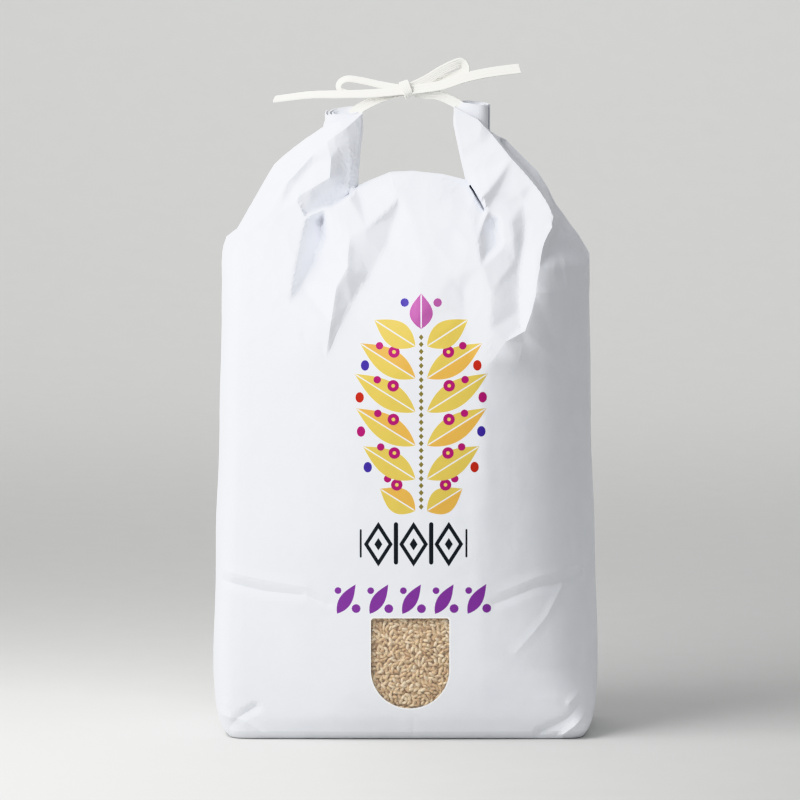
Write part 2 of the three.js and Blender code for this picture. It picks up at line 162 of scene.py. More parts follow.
# Upper edge of the front half, from the left gusset over the left ear, the crown and the right ear to the
# right gusset, in runs of x, y, z: "tuck" goes in as a gusset fold, "top" is the top of an ear beside its
# roll, and "over" rounds over.
FRONT_EDGE = [
    ("tuck", [(-111, 0, 285), (-110, -2, 293.2), (-108.2, -2, 298.6), (-101.5, -2, 303.5),
          (-95.5, -2, 313.7), (-90, -2, 323.4), (-84.5, -2, 333.1), (-79.1, -2, 342.1), (-73.6, -2, 347.6),
          (-60.9, -3, 357.3), (-49.4, -3, 365.1)]),
    ("top", [(-49.4, -4, 367.2), (-39.7, -9, 368.7), (-26.5, -8, 373.4)]),
    ("over", [(-27.4, -5, 363.4), (-29, -2, 351.2), (-29.9, 0, 339), (-30.5, 1, 328.4), (-29.5, -6, 327.6),
          (-22.3, -7, 330.8), (-9, -7, 336.2), (4.2, -7, 336.8), (22.3, -6, 334.8), (37.2, -3, 330.9),
          (38, -9, 332.2), (34.6, -7, 346.4), (30.4, -8, 366.2)]),
    ("top", [(29.2, -8, 377.1), (43.5, -9, 369.5), (51.5, -8, 361.1)]),
    ("tuck", [(55.2, -3, 359.6), (60.5, 2, 357.1), (70.2, 3, 347.3), (79.9, 3, 337.7), (85.4, 3, 328),
          (90.2, 3, 318.3), (98.1, 2, 307.6), (103.5, 1, 300.2), (108, 1, 293.4), (110.9, 0, 288.8),
          (111.2, 0, 285.6), (111, 0, 282)])]

# Folds of the front panel, each a line of x, z, y where the paper is sharply bent.
FRONT_FOLDS = {
    "left panel crease, up to the ear": [(-104.5, 245.8, -45.5), (-104.7, 277.9, -35.4),
        (-104, 291.4, -30.2), (-98.3, 300.8, -27.6), (-91.2, 306.7, -25.5), (-82.1, 313.5, -22.3),
        (-71.6, 332, -14.5), (-55.9, 349.1, -12.2), (-46.3, 357.9, -11.4), (-36.1, 364.9, -11.2),
        (-26.5, 373.4, -8)],
    "furrow beside it": [(-54.5, 345, -10.6), (-64.2, 333.6, -11.5), (-70.4, 323.5, -15.3),
        (-75.1, 316.6, -20.3)],
    "left ear, edge of the pocket": [(-43.3, 359.4, -11.3), (-47.5, 356.5, -12.2), (-45.3, 346.8, -13.9),
        (-46, 335.3, -16.6), (-56.5, 329.1, -17.5), (-64.1, 324.8, -18.8), (-65.7, 321.6, -19.6),
        (-61.1, 312.3, -23.3)],
    "left ear, folds in the pocket": [(-40.4, 352.3, -10.3), (-36.1, 338.8, -6.2), (-40.4, 326.7, -5.2),
        (-49.4, 319.4, -9), (-59.8, 314.4, -17.4)],
    "left ear, fold below its inner edge": [(-33.7, 356.9, -8), (-32.6, 342.3, -5.3), (-35.3, 325.3, -4)],
    "lip of the crown": [(-29.5, 327.6, -6), (-33.7, 323.6, -17.2), (-43.5, 317.3, -20.7),
        (-48.5, 316.5, -21.1), (-60.4, 311.7, -23.9)],
    "foot of the lip": [(-34.6, 324.6, 0.5), (-44, 318.5, -4.5), (-49, 317.8, -8.5), (-59.5, 313.3, -18.2)],
    "left furrow, lit edge": [(-59.9, 311.2, -24), (-65.2, 287.1, -38.3), (-69.4, 262, -47.8)],
    "left furrow, floor": [(-50.3, 309.2, -7.6), (-49.6, 298.3, -13), (-55.4, 285.7, -23.5),
        (-62.5, 273, -36.5)],
    "left end of the roll": [(-47.5, 310.2, -24.5), (-45.7, 299, -31.8)],
    "lower edge of the roll": [(-45.5, 298.1, -32.4), (-35.3, 306.2, -30.1), (-23.8, 306, -29.4),
        (-5.8, 321.9, -18.6), (-3.3, 323.7, -17.3)],
    "main left ridge": [(-35.3, 306.2, -30.1), (-33.6, 300.1, -34.9), (-35.1, 283, -45.5),
        (-41.6, 271.8, -49.9), (-44.8, 251.3, -55.3), (-48, 229.4, -57.3)],
    "hollow beside the main ridge": [(-6.6, 311.1, -19.4), (-10.8, 295.5, -28.8), (-21.5, 278.2, -38.9),
        (-32.8, 260.9, -47.3), (-41.7, 243.4, -53.7), (-46.4, 231.5, -56.8)],
    "crown crease": [(-9, 336.2, -7), (-6.9, 327.7, -14.8)],
    "crown centre": [(3.6, 309.1, -24.8), (11.3, 286, -39.5), (7.1, 252.4, -53.6)],
    "crown right": [(21, 321.8, -17), (27.5, 298.7, -31.5), (26.2, 276.8, -44.1)],
    "slit, crown side": [(37.2, 330.9, -3), (41.6, 321.6, -14.5), (46.2, 314.5, -19)],
    "slit, floor": [(38.8, 329.4, 6), (43.1, 322.3, 3), (47, 315.7, -7)],
    "slit, ear side": [(38, 332.2, -9), (44.6, 322.9, -20.2), (48.4, 315.1, -21.8)],
    "right soft ridge": [(36.7, 316.6, -19.4), (43.3, 299.3, -32.2), (45.4, 284.3, -40.9),
        (51.2, 268.6, -47.4), (50, 246.4, -53.7), (49.4, 229.5, -56.4)],
    "dark triangle": [(54.4, 309.7, -14.5), (55.3, 296.5, -22.5)],
    "ridge right of the triangle": [(55.8, 310.8, -23.5), (57.6, 295.7, -31.5), (66.2, 287.1, -33.7)],
    "sliver right of it": [(61.8, 309.1, -24.7), (64.1, 298.6, -30.3)],
    "right furrow": [(70.4, 319.9, -14.9), (71.8, 308.7, -19.5), (70.8, 296.5, -26.4), (68.2, 283.2, -33.4),
        (67.8, 269.3, -39.8), (67.9, 256.5, -45.3), (68.5, 247.8, -49)],
    "right panel crease": [(51.5, 361.1, -8), (63.3, 346.7, -11.8), (76.4, 332, -13.9),
        (84.6, 320.6, -17.6), (88.6, 311.9, -21.4), (87.6, 306, -24.2), (82.6, 296.8, -30.8),
        (79.9, 282.6, -38.7), (77.3, 266.7, -46), (74.8, 257.2, -49.2), (70.7, 245.7, -51.7),
        (59.3, 239.6, -54.6), (50.5, 227.5, -56.8)],
    "behind the right panel crease": [(56.2, 356.5, 1), (65, 347.1, 1), (78.3, 332.6, 1), (86.8, 320.6, 0),
        (91.6, 310.8, -3), (92.3, 304.4, -8)],
    "shadow below the crease": [(70, 239.6, -50.1), (67.3, 227.2, -53)],
    "small fold": [(34.2, 269, -44.8), (35, 258.6, -48.4)],
    "inner edge of the right ear": [(46.9, 354.7, -8.7), (40.1, 336.7, -9.9)],
    "dimple on the right ear": [(51.7, 320, -16.5), (60.2, 321.2, -15.5)],
}

# Soft creases pressed into the panels: x, z points, rise (a valley is negative) and how far it reaches.
FRONT_CREASES = [
    ([(-109, 95.9), (-84, 90), (-59.2, 87.9), (-46.6, 82.7)], -2.0, 5),
    ([(-109, 102.5), (-84, 97), (-60, 93)], 1.0, 6),
    ([(-59.2, 87.9), (-47, 79)], 0.7, 4),
    ([(106, 98), (98, 94.5), (76.5, 91), (52.6, 82.5)], -1.6, 5),
    ([(104, 103), (78, 98), (56, 90)], 0.8, 6),
    ([(93.4, 91.3), (84.4, 74.6), (65.8, 53.4)], 0.9, 5),
    ([(-90, 20), (-102, 12), (-107, 3)], -2.2, 5),
    ([(-112, 16), (-98, 12), (-84, 3)], 1.6, 5),
    ([(-108, 22), (-104, 14)], 1.0, 4),
    ([(80, 4), (96, 12), (104, 20)], -2.2, 5),
    ([(94, 3), (102, 9), (108, 16)], 1.8, 4),
    ([(98, 22), (104, 28)], 1.0, 4),
    ([(4, 3), (5, 14)], -0.5, 4),
    ([(-49.4, 236), (-47.6, 224)], -0.8, 2.5),
    ([(-61, 243), (-58, 236)], -0.7, 2.5),
    ([(-4.8, 323), (-3, 316)], -1.2, 3),
    ([(87, 307), (93, 300), (104, 296), (109, 289)], 1.4, 4),
    ([(90.5, 310), (97, 305), (105, 298)], -1.5, 4),
    ([(98, 302), (100, 292), (104, 280)], -1.4, 4),
    ([(95, 286), (97, 268), (99, 242)], 0.9, 5),
]
FOLD_FLOOR = 221  # the folds end above this height
ABOVE_ALL = 384  # higher than any point of the bag
# Opening of the window: middle, half width, foot of its round end, top.
WINDOW = {"x": 2.4, "half": 23.4, "bottom": 19.6, "top": 74.4}


# Print on the front: flat fields of ink. An upright oval of leaves on a stalk with round berries, a band of
# black lozenges and bars, and a row of purple leaves and dots.
GOLD, AMBER, OLIVE, MAGENTA, VIOLET = "#DEC560", "#E3B457", "#857A3E", "#AE2470", "#47379C"
RED, MAUVE, LEMON, BLACK, PURPLE = "#BC3023", "#B45FA2", "#EAD56A", "#1D2026", "#84409C"
WHITE = "#FFFFFF"
INKS = [None, GOLD, AMBER, OLIVE, MAGENTA, VIOLET, RED, MAUVE, LEMON, BLACK, PURPLE, WHITE]
prints = []


def disc(ink, x, z, radius, count=16, squeeze=1.0):
    """A round dot, or an upright oval where squeeze is under 1."""
    turn = np.arange(count) * 2 * math.pi / count
    prints.append((ink, np.column_stack([x + radius * squeeze * np.cos(turn), z + radius * np.sin(turn)])))


def leaf(ink, x, z, angle, length, width, side=0):
    """A leaf from its stalk end, at an angle from the right; side 1 or -1 is only the half beside the rib."""
    along = np.linspace(0, 1, max(6, int(length / 1.6)))
    half = width / 2 * np.sin(np.pi * along ** 0.85)
    rib = np.where(half > 0.45, 0.35, 0.0)
    upper = half if side >= 0 else -rib
    lower = -half if side <= 0 else rib
    outline = np.vstack([np.column_stack([along * length, upper]),
                         np.column_stack([along * length, lower])[-2:0:-1]])
    c, s = math.cos(math.radians(angle)), math.sin(math.radians(angle))
    prints.append((ink, np.column_stack([x + outline[:, 0] * c - outline[:, 1] * s,
                                         z + outline[:, 0] * s + outline[:, 1] * c])))


def lozenge(ink, x, z, half_width, half_height):
    prints.append((ink, np.array([(x, z + half_height), (x + half_width, z),
                                  (x, z - half_height), (x - half_width, z)], float)))


def bar(ink, x, z, half_width, half_height):
    """An upright bar with round ends."""
    turn = np.linspace(0, math.pi, 6)
    top = np.column_stack([x + half_width * np.cos(turn), z + half_height + half_width * np.sin(turn)])
    low = np.column_stack([x - half_width * np.cos(turn), z - half_height - half_width * np.sin(turn)])
    prints.append((ink, np.vstack([top, low])))


# Six tiers of leaves, each split along its rib, with berries between them and dots off their tips.
STALK_X = 9
TIERS = [(139, 25), (158, 37), (178, 42), (198, 43), (218, 39), (237, 29)]
RIGHT_DOTS, LEFT_DOTS = (RED, VIOLET, MAGENTA, RED), (VIOLET, MAGENTA, RED, VIOLET)
LEAF_WIDTH = 15.5
for tier, (base_z, reach) in enumerate(TIERS):
    for side in (1, -1):
        angle = 32 if side > 0 else 148
        root_x = STALK_X + side * 3.4
        leaf(GOLD, root_x, base_z, angle, reach, LEAF_WIDTH, 1)
        leaf(GOLD if tier % 2 else AMBER, root_x, base_z, angle, reach, LEAF_WIDTH, -1)
        berry_x, berry_z = STALK_X + side * (11.5 + 0.12 * reach), base_z + 15.6
        if tier < 5:
            disc(MAGENTA, berry_x, berry_z, 3.5)
            disc(LEMON, berry_x, berry_z, 1.1, 8)
            disc(MAGENTA, berry_x + side * 0.22 * reach, berry_z + 3.6, 2.3, 12)
        tip_x = STALK_X + side * (0.80 * reach + 2.2)
        if 0 < tier < 5:
            dot_ink = (RIGHT_DOTS if side > 0 else LEFT_DOTS)[tier - 1]
            disc(dot_ink, tip_x, base_z + 0.26 * reach - 2.5, 3.2, 14, 0.8)
# The stalk, and a bud with two dots on top of it.
for k in range(25):
    lozenge(OLIVE, STALK_X, 141.5 + 4.2 * k, 1.5, 1.8)
for side, ink in ((1, MAUVE), (-1, VIOLET)):
    leaf(MAUVE, STALK_X, 247, 90, 21, 14, side)
for side, ink in ((1, MAUVE), (-1, VIOLET)):
    disc(ink, STALK_X + side * 9.8, 262.5, 2.6, 12)
# The band: three lozenges inside one another, with bars between and beside them.
for k in range(3):
    x = -16.5 + 21 * k
    lozenge(BLACK, x, 119, 8.6, 13.5)
    lozenge(None, x, 119, 6.0, 9.4)
    lozenge(BLACK, x, 119, 2.4, 3.8)
    if k < 2:
        bar(BLACK, x + 10.5, 119.5, 1.3, 11.5)
bar(BLACK, 36, 119.5, 0.6, 8)
bar(BLACK, -27, 119.5, 0.6, 8)
# The row over the window.
for k in range(5):
    x = -35 + 19.5 * k
    leaf(PURPLE, x - 6.2, 77, 58, 21, 7.6)
    disc(PURPLE, x + 5.2, 80.2, 2.7, 12)
    disc(PURPLE, x - 5.6, 91, 2.1, 10)


def resample(points, step):
    """Points along a line at an even step, with the line's own corners kept."""
    out = [np.asarray(points[0], float)]
    for a, b in zip(points, points[1:]):
        a, b = np.asarray(a, float), np.asarray(b, float)
        count = max(1, int(round(np.linalg.norm((b - a)[:2]) / step)))
        out += [a + (b - a) * k / count for k in range(1, count + 1)]
    return np.array(out)


def inside(points, outline):
    """Which of the points lie inside a closed outline."""
    x, y = points[:, 0], points[:, 1]
    result = np.zeros(len(points), bool)
    for (xa, ya), (xb, yb) in zip(outline, np.roll(outline, -1, 0)):
        crosses = (ya > y) != (yb > y)
        with np.errstate(divide="ignore", invalid="ignore"):
            result ^= crosses & (x < (xb - xa) * (y - ya) / (yb - ya) + xa)
    return result


def spread(low, high, step):
    """Staggered grid of points over a rectangle."""
    row = np.arange(low[0], high[0], step)
    return np.vstack([np.column_stack([row + (step / 2 if k % 2 else 0), np.full(len(row), level)])
                      for k, level in enumerate(np.arange(low[1], high[1], step * 0.866))])


def triangulate(loops, lines, step_at, outlines=()):
    """Mesh of the area inside the first loop and outside the second: its points and its triangles.

    Lines and outlines are kept as edges. step_at is how far apart points are, by height: low, high, step.
    """
    fixed = list(loops) + list(outlines) + list(lines)
    points = np.vstack(fixed)
    edges, start = [], 0
    for k, chain in enumerate(fixed):
        n = len(chain)
        edges += [(start + i, start + i + 1) for i in range(n - 1)]
        if k < len(loops) + len(outlines):
            edges.append((start + n - 1, start))
        start += n
    outer = loops[0]
    fill = []
    for low, high, step in step_at:
        grid = spread((outer[:, 0].min(), low), (outer[:, 0].max(), high), step)
        grid = grid[inside(grid, outer)]
        if len(loops) > 1:
            grid = grid[~inside(grid, loops[1])]
        near = np.full(len(grid), 1e9)
        for p in points:
            near = np.minimum(near, (grid[:, 0] - p[0]) ** 2 + (grid[:, 1] - p[1]) ** 2)
        fill.append(grid[near > (0.55 * step) ** 2])
    points = np.vstack([points] + fill)
    verts, _, faces, _, _, _ = delaunay_2d_cdt([Vector(p) for p in points.tolist()], edges, [], 0, 1e-5)
    verts = np.array([v[:] for v in verts])
    faces = np.array([f for f in faces if len(f) == 3])
    centres = verts[faces].mean(1)
    keep = inside(centres, outer)
    if len(loops) > 1:
        keep &= ~inside(centres, loops[1])
    return verts, faces[keep]


def interpolate(points, corners, faces, values):
    """Values at points from a coarse triangle mesh with a value at each corner."""
    out = np.zeros((len(points), values.shape[1]))
    for face in faces:
        a, b, c = corners[face]
        low, high = corners[face].min(0) - 1e-6, corners[face].max(0) + 1e-6
        near = np.where(np.all((points >= low) & (points <= high), axis=1))[0]
        if not len(near):
            continue
        det = (b[1] - c[1]) * (a[0] - c[0]) + (c[0] - b[0]) * (a[1] - c[1])
        if abs(det) < 1e-9:
            continue
        d = points[near] - c
        u = ((b[1] - c[1]) * d[:, 0] + (c[0] - b[0]) * d[:, 1]) / det
        v = ((c[1] - a[1]) * d[:, 0] + (a[0] - c[0]) * d[:, 1]) / det
        w = 1 - u - v
        hit = (u > -1e-5) & (v > -1e-5) & (w > -1e-5)
        out[near[hit]] = (u[hit, None] * values[face[0]] + v[hit, None] * values[face[1]]
                          + w[hit, None] * values[face[2]])
    return out


def unrolled(x, y, z, side):
    """Place of a point in the unrolled front half; behind the panel it moves outwards by its extra depth."""
    s = round_bag(x, z)
    depth = y - float(on_bag(s, z)[1])
    return (s + side * max(0.0, depth), z)


LEFT_TOP, RIGHT_TOP = 285, 282  # heights at which the gusset middles end and the tucks begin
edge = np.array([point for _, run in FRONT_EDGE for point in run], float)
edge_kind = [kind for kind, run in FRONT_EDGE for _ in run]
edge_flat = np.array([unrolled(x, y, z, math.copysign(kind == "tuck", x))
                      for (x, y, z), kind in zip(edge, edge_kind)])
edge_flat[0], edge_flat[-1] = (-MIDDLE, LEFT_TOP), (MIDDLE, RIGHT_TOP)

fold_flat, fold_real = [], []
for name, line in FRONT_FOLDS.items():
    fold_flat.append(np.array([unrolled(x, y, z, int(name.startswith("behind"))) for x, z, y in line]))
    fold_real.append(np.array([(x, y, z) for x, z, y in line], float))

# Coarse net: how far each fold point stands off the smooth bag, and flat facets between them.
floor_flat = np.array([(s, FOLD_FLOOR) for s in (MIDDLE, 110, 88, 49, 0, -48, -88, -104, -MIDDLE)], float)
coarse_loop = np.vstack([edge_flat, floor_flat])
coarse_real = np.vstack([edge, np.column_stack([on_bag(floor_flat[:, 0], floor_flat[:, 1]), floor_flat[:, 1]])])
chains, reals = [coarse_loop] + fold_flat, [coarse_real] + fold_real
all_flat, all_real = np.vstack(chains), np.vstack(reals)
coarse_edges, start = [], 0
for k, chain in enumerate(chains):
    coarse_edges += [(start + i, start + i + 1) for i in range(len(chain) - 1)]
    if k == 0:
        coarse_edges.append((len(chain) - 1, 0))
    start += len(chain)
cv, _, cf, orig, _, _ = delaunay_2d_cdt([Vector(p) for p in all_flat.tolist()], coarse_edges, [], 0, 1e-5)
coarse_points = np.array([v[:] for v in cv])
coarse_faces = np.array([f for f in cf if len(f) == 3])
coarse_faces = coarse_faces[inside(coarse_points[coarse_faces].mean(1), coarse_loop)]
stand_off = np.zeros((len(coarse_points), 3))
for k, source in enumerate(orig):
    if source:
        real = all_real[source[0]]
        smooth_xy = on_bag(*coarse_points[k])
        stand_off[k] = (real[0] - smooth_xy[0], real[1] - smooth_xy[1], real[2] - coarse_points[k][1])

# Front half of the bag: its outline in the unrolled bag, with the real place of each edge point beside it.
FINE_STEP, MESH_STEP = 1.5, 2.2
edge_fine = resample(np.column_stack([edge_flat, edge]), FINE_STEP)
edge_kinds = [edge_kind[int(np.argmin(((edge_flat - p[:2]) ** 2).sum(1)))] for p in edge_fine]
low_left = resample([(-MIDDLE, 0), (-MIDDLE, LEFT_TOP)], MESH_STEP)[:-1]
low_right = resample([(MIDDLE, RIGHT_TOP), (MIDDLE, 0)], MESH_STEP)[1:]
base_front = resample([(MIDDLE, 0), (-MIDDLE, 0)], MESH_STEP)[1:-1]
front_loop = np.vstack([low_left, edge_fine[:, :2], low_right, base_front])


def window_loop(grow=0.0, step=1.2, corner=1.2):
    """Outline of the window's opening, round below and with small corners above."""
    x, half, top = WINDOW["x"], WINDOW["half"] + grow, WINDOW["top"] + grow
    arc_z = WINDOW["bottom"] + WINDOW["half"]
    arc = [(x + half * math.cos(a), arc_z + half * math.sin(a)) for a in np.linspace(math.pi, 2 * math.pi, 60)]
    return resample(arc + [(x + half, top - corner), (x + half - corner, top),
                           (x - half + corner, top), (x - half, top - corner), arc[0]], step)[:-1]


hole_loop = np.array(unroll(window_loop()))
crease_flat = [resample(unroll(line), 2.0) for line, _, _ in FRONT_CREASES]
fold_fine = [resample(line, FINE_STEP) for line in fold_flat]
prints.append((WHITE, window_loop(grow=0.8)))
print_flat = [np.array(unroll(outline)) for _, outline in prints]
front_uv, front_faces = triangulate([front_loop, hole_loop], fold_fine + crease_flat,
                                    [(0.9, FOLD_FLOOR, MESH_STEP), (FOLD_FLOOR, ABOVE_ALL, FINE_STEP)],
                                    print_flat)
front_ink = np.zeros(len(front_faces), int)
face_middles = front_uv[front_faces].mean(1)
for (ink, _), outline in zip(prints, print_flat):
    near = np.where(np.all((face_middles > outline.min(0)) & (face_middles < outline.max(0)), axis=1))[0]
    front_ink[near[inside(face_middles[near], outline)]] = INKS.index(ink)
smooth_front = np.column_stack([on_bag(front_uv[:, 0], front_uv[:, 1]), front_uv[:, 1]])
front = smooth_front + interpolate(front_uv, coarse_points, coarse_faces, stand_off)
front[len(low_left):len(low_left) + len(edge_fine)] = edge_fine[:, 2:5]


def line_distance(points, line):
    """Distance of points from a line, and how far along it the nearest place is, from 0 to 1."""
    best, along = np.full(len(points), 1e9), np.zeros(len(points))
    lengths = [math.dist(a, b) for a, b in zip(line, line[1:])]
    total, done = sum(lengths), 0.0
    for a, b, length in zip(line, line[1:], lengths):
        a, b = np.asarray(a, float), np.asarray(b, float)
        t = np.clip(((points - a) @ (b - a)) / (length * length), 0, 1)
        distance = np.linalg.norm(points - a - np.outer(t, b - a), axis=1)
        closer = distance < best
        best[closer] = distance[closer]
        along[closer] = (done + t[closer] * length) / total
        done += length
    return best, along


def crease_rise(points, line, rise, reach, fade, back=False):
    """How far a crease lifts points, less and less along its line."""
    distance, along = line_distance(points, unroll(line, back))
    return rise * np.clip(1 - distance / reach, 0, 1) ** 1.5 * (1 - fade * along)


for line, rise, reach in FRONT_CREASES:
    front[:, 1] -= crease_rise(front_uv, line, rise, reach, 0.7)

# No fold in thick coated paper is a knife edge: the ridges are rounded, the hard ones less than the rest.
HARD_FOLDS = ("left ear, edge", "lip of", "foot of", "slit", "right panel", "behind", "left panel",
              "main left")
hardness = np.zeros(len(front))
for name, line in zip(FRONT_FOLDS, fold_fine):
    if name.startswith(HARD_FOLDS):
        distance, _ = line_distance(front_uv, line)
        hardness = np.maximum(hardness, np.clip(1.2 - distance / 2.5, 0, 1))
sides = np.vstack([front_faces[:, [0, 1]], front_faces[:, [1, 2]], front_faces[:, [2, 0]]])
sides = np.unique(np.sort(sides, axis=1), axis=0)
valence = np.maximum(np.bincount(sides.ravel(), minlength=len(front)), 1)[:, None]


def eased(points, times, give):
    """The front with how far it stands off the smooth bag evened out, by a share of give at each point."""
    give[:len(front_loop) + len(hole_loop)] = 0
    relief = points - smooth_front
    for _ in range(times):
        total = np.zeros_like(relief)
        np.add.at(total, sides[:, 0], relief[sides[:, 1]])
        np.add.at(total, sides[:, 1], relief[sides[:, 0]])
        relief += (total / valence - relief) * give[:, None]
    return smooth_front + relief


above_floor = front_uv[:, 1] - FOLD_FLOOR
front = eased(front, 3, ramp(above_floor, 0, 12) * 0.5 * (1 - 0.8 * hardness))
front = eased(front, 24, 0.5 * np.exp(-(above_floor / 8) ** 2) * (1 - 0.7 * hardness))

# Back half: a plain panel with the roll as a raised band along the mouth and up both ears. The tucks start
# gently at the ears, so that the paper passes from the roll into the gusset without a gap.
TOP_BACK, OVER_BACK = 9.5, 11.0
tucked = evened([float(kind == "tuck") for kind in edge_kinds], 40)
back_edge = edge_fine[:, 2:5].copy()
for point, kind in zip(back_edge, edge_kinds):
    open_by = 4.5 * ramp(point[2], 283, 295)
    point[1] = {"tuck": point[1] + open_by + 2 * ramp(point[2], 330, 360),
                "top": TOP_BACK, "over": OVER_BACK}[kind]
back_edge[:, 1] = evened(back_edge[:, 1], 40)
back_edge[:, 2] += evened([float(kind == "top") for kind in edge_kinds], 12)
back_edge[0], back_edge[-1] = edge_fine[0][2:5], edge_fine[-1][2:5]
back_flat = []
for (x, y, z), share in zip(back_edge, tucked):
    s = round_bag(x, z, back=True)
    depth = float(on_bag(s, z)[1]) - y
    back_flat.append((s + math.copysign(share, -x) * max(0.0, depth), z))
back_flat = np.array(back_flat)
LEFT_MIDDLE = ROUND - MIDDLE
back_flat[0], back_flat[-1] = (LEFT_MIDDLE, LEFT_TOP), (MIDDLE, RIGHT_TOP)
base_back = resample([(LEFT_MIDDLE, 0), (MIDDLE, 0)], MESH_STEP)[1:-1]
up_right = resample([(MIDDLE, 0), (MIDDLE, RIGHT_TOP)], MESH_STEP)[:-1]
down_left = resample([(LEFT_MIDDLE, LEFT_TOP), (LEFT_MIDDLE, 0)], MESH_STEP)[1:]
back_loop = np.vstack([up_right, back_flat[::-1], down_left, base_back])
BACK_ROLL = [(-50, 351), (-54, 330), (-46, 309), (-20, 313), (0, 314.5), (20, 313.5), (50, 311),
             (58, 330), (56, 347)]
ROLL_STEP, ROLL_RISE, ROLL_LEAST = 2.0, 4.5, 9.8
roll_edge = resample(unroll(BACK_ROLL, back=True), ROLL_STEP)
ahead = np.gradient(roll_edge, axis=0)
ahead /= np.linalg.norm(ahead, axis=1)[:, None]
roll_lines = [roll_edge, roll_edge + ROLL_STEP * np.column_stack([ahead[:, 1], -ahead[:, 0]])]
SEAM_X, SEAM_TOP, SEAM_LEVELS = 48, 306, (1, 60, 120, 180, 240, 290, 306)
seam_lines = [resample(unroll([(x, z) for z in SEAM_LEVELS], back=True), 2.5) for x in (SEAM_X, SEAM_X + 1)]
back_uv, back_faces = triangulate([back_loop], roll_lines + seam_lines,
                                  [(0.9, 250, 3.0), (250, ABOVE_ALL, MESH_STEP)])
back = np.column_stack([on_bag(back_uv[:, 0], back_uv[:, 1]), back_uv[:, 1]])

# The panel follows its edge: points near the edge move with it, less and less up to EDGE_REACH from it.
EDGE_REACH, EDGE_BLEND, PLAIN_BELOW = 26.0, 7.0, 262
edge_shift = np.column_stack([back_edge[:, :2] - on_bag(back_flat[:, 0], back_flat[:, 1]),
                              np.zeros(len(back_flat))])
for k in np.where(back_uv[:, 1] >= PLAIN_BELOW)[0]:
    apart = ((back_flat - back_uv[k]) ** 2).sum(1)
    weight = np.exp(-apart / (2 * EDGE_BLEND ** 2)) + 1e-12
    fade = max(0.0, 1 - math.sqrt(apart.min()) / EDGE_REACH)
    back[k] += (weight[:, None] * edge_shift).sum(0) / weight.sum() * fade
back[len(up_right):len(up_right) + len(back_edge)] = back_edge[::-1]

# The rolled band stands off the panel inside its border, and comes down to it at the edge.
above_roll = [(roll_edge[0][0] + 12, 400), (roll_edge[-1][0] - 12, 400)]
on_roll = inside(back_uv, np.vstack([above_roll[:1], roll_edge, above_roll[1:]]))
gap, _ = line_distance(back_uv, roll_edge)
band = np.maximum(back[:, 1], ROLL_LEAST) + ROLL_RISE * np.clip(gap / ROLL_STEP, 0, 1) ** 0.5
edge_gap, _ = line_distance(back_uv, back_flat)
back[:, 1] += (np.where(on_roll, band, back[:, 1]) - back[:, 1]) * np.clip(edge_gap / 9.0, 0, 1) ** 0.6
BACK_CREASES = [
    ([(-100, 92), (-60, 86), (-10, 90)], -1.5, 6), ([(98, 98), (60, 90), (20, 93)], -1.5, 6),
    ([(-96, 250), (-70, 268), (-40, 296)], 1.6, 9), ([(96, 248), (74, 266), (44, 294)], 1.6, 9),
    ([(-30, 300), (-22, 262), (-26, 232)], -1.8, 9), ([(18, 302), (14, 270), (24, 240)], -1.6, 8),
    ([(-90, 20), (-102, 8)], -1.6, 5), ([(92, 22), (103, 8)], -1.6, 5)]
for line, rise, reach in BACK_CREASES:
    back[:, 1] += crease_rise(back_uv, line, rise, reach, 0.6, back=True)
# The glued lap: the paper right of the seam lies one layer deeper.
under_lap = (back[:, 0] > SEAM_X + 0.5) & (back_uv[:, 1] < SEAM_TOP) & (back_uv[:, 0] > 230)
back[under_lap, 1] -= 0.35
# The two halves meet along the gusset middles.
for front_side, back_start in ((np.arange(len(low_left)), len(up_right) + len(back_flat)),
                               (len(low_left) + len(edge_fine) + np.arange(len(low_right)), 0)):
    back_side = back_start + np.arange(len(front_side))[::-1]
    front[front_side] = back[back_side] = (front[front_side] + back[back_side]) / 2

# Edge between the halves: gusset folds tucked in under the ears, rounded paper over the roll. The tuck
# tables are heights and the x of the tuck's inner fold.
TUCK_LEFT = ((262, 285, 296, 314, 339, 362, 396), (-112.5, -104, -97, -80, -66, -48, -42))
TUCK_RIGHT = ((258, 282, 296, 314, 339, 362, 396), (112.5, 104, 94, 78, 64, 46, 42))
TUCK_DEEPEST = 16.0
BULGE = {"tuck": 0.0, "over": 1.6, "top": 0.3}
front_edge = edge_fine[:, 2:5]
ahead = np.gradient(front_edge[:, [0, 2]], axis=0)
ahead /= np.linalg.norm(ahead, axis=1)[:, None] + 1e-9
outward = np.column_stack([-ahead[:, 1], ahead[:, 0]])
bulge = evened([BULGE[kind] for kind in edge_kinds], 6)
rows = [front_edge]
for t in (0.12, 0.3, 0.5, 0.7, 0.88):
    row = front_edge * (1 - t) + back_edge * t
    row[:, [0, 2]] += outward * bulge[:, None] * math.sin(math.pi * t)
    inner_x = np.where(row[:, 0] < 0, np.interp(row[:, 2], *TUCK_LEFT), np.interp(row[:, 2], *TUCK_RIGHT))
    depth = np.clip(inner_x - row[:, 0], -TUCK_DEEPEST, TUCK_DEEPEST)
    share = (1 - abs(2 * t - 1)) * tucked * ramp(row[:, 2], 284, 298)
    row[:, 0] += np.where(tucked < 0.01, 0, depth * share)
    rows.append(row)
rows.append(back_edge)
across = len(edge_fine)
strip_faces = [(a, a + across, a + across + 1, a + 1)
               for row_start in range(0, (len(rows) - 1) * across, across)
               for a in range(row_start, row_start + across - 1)]


def new_mesh(name, points, faces):
    """A mesh from points in millimetres."""
    mesh = bpy.data.meshes.new(name)
    mesh.from_pydata((np.array(points, float) / 1000).tolist(), [], faces)
    return mesh


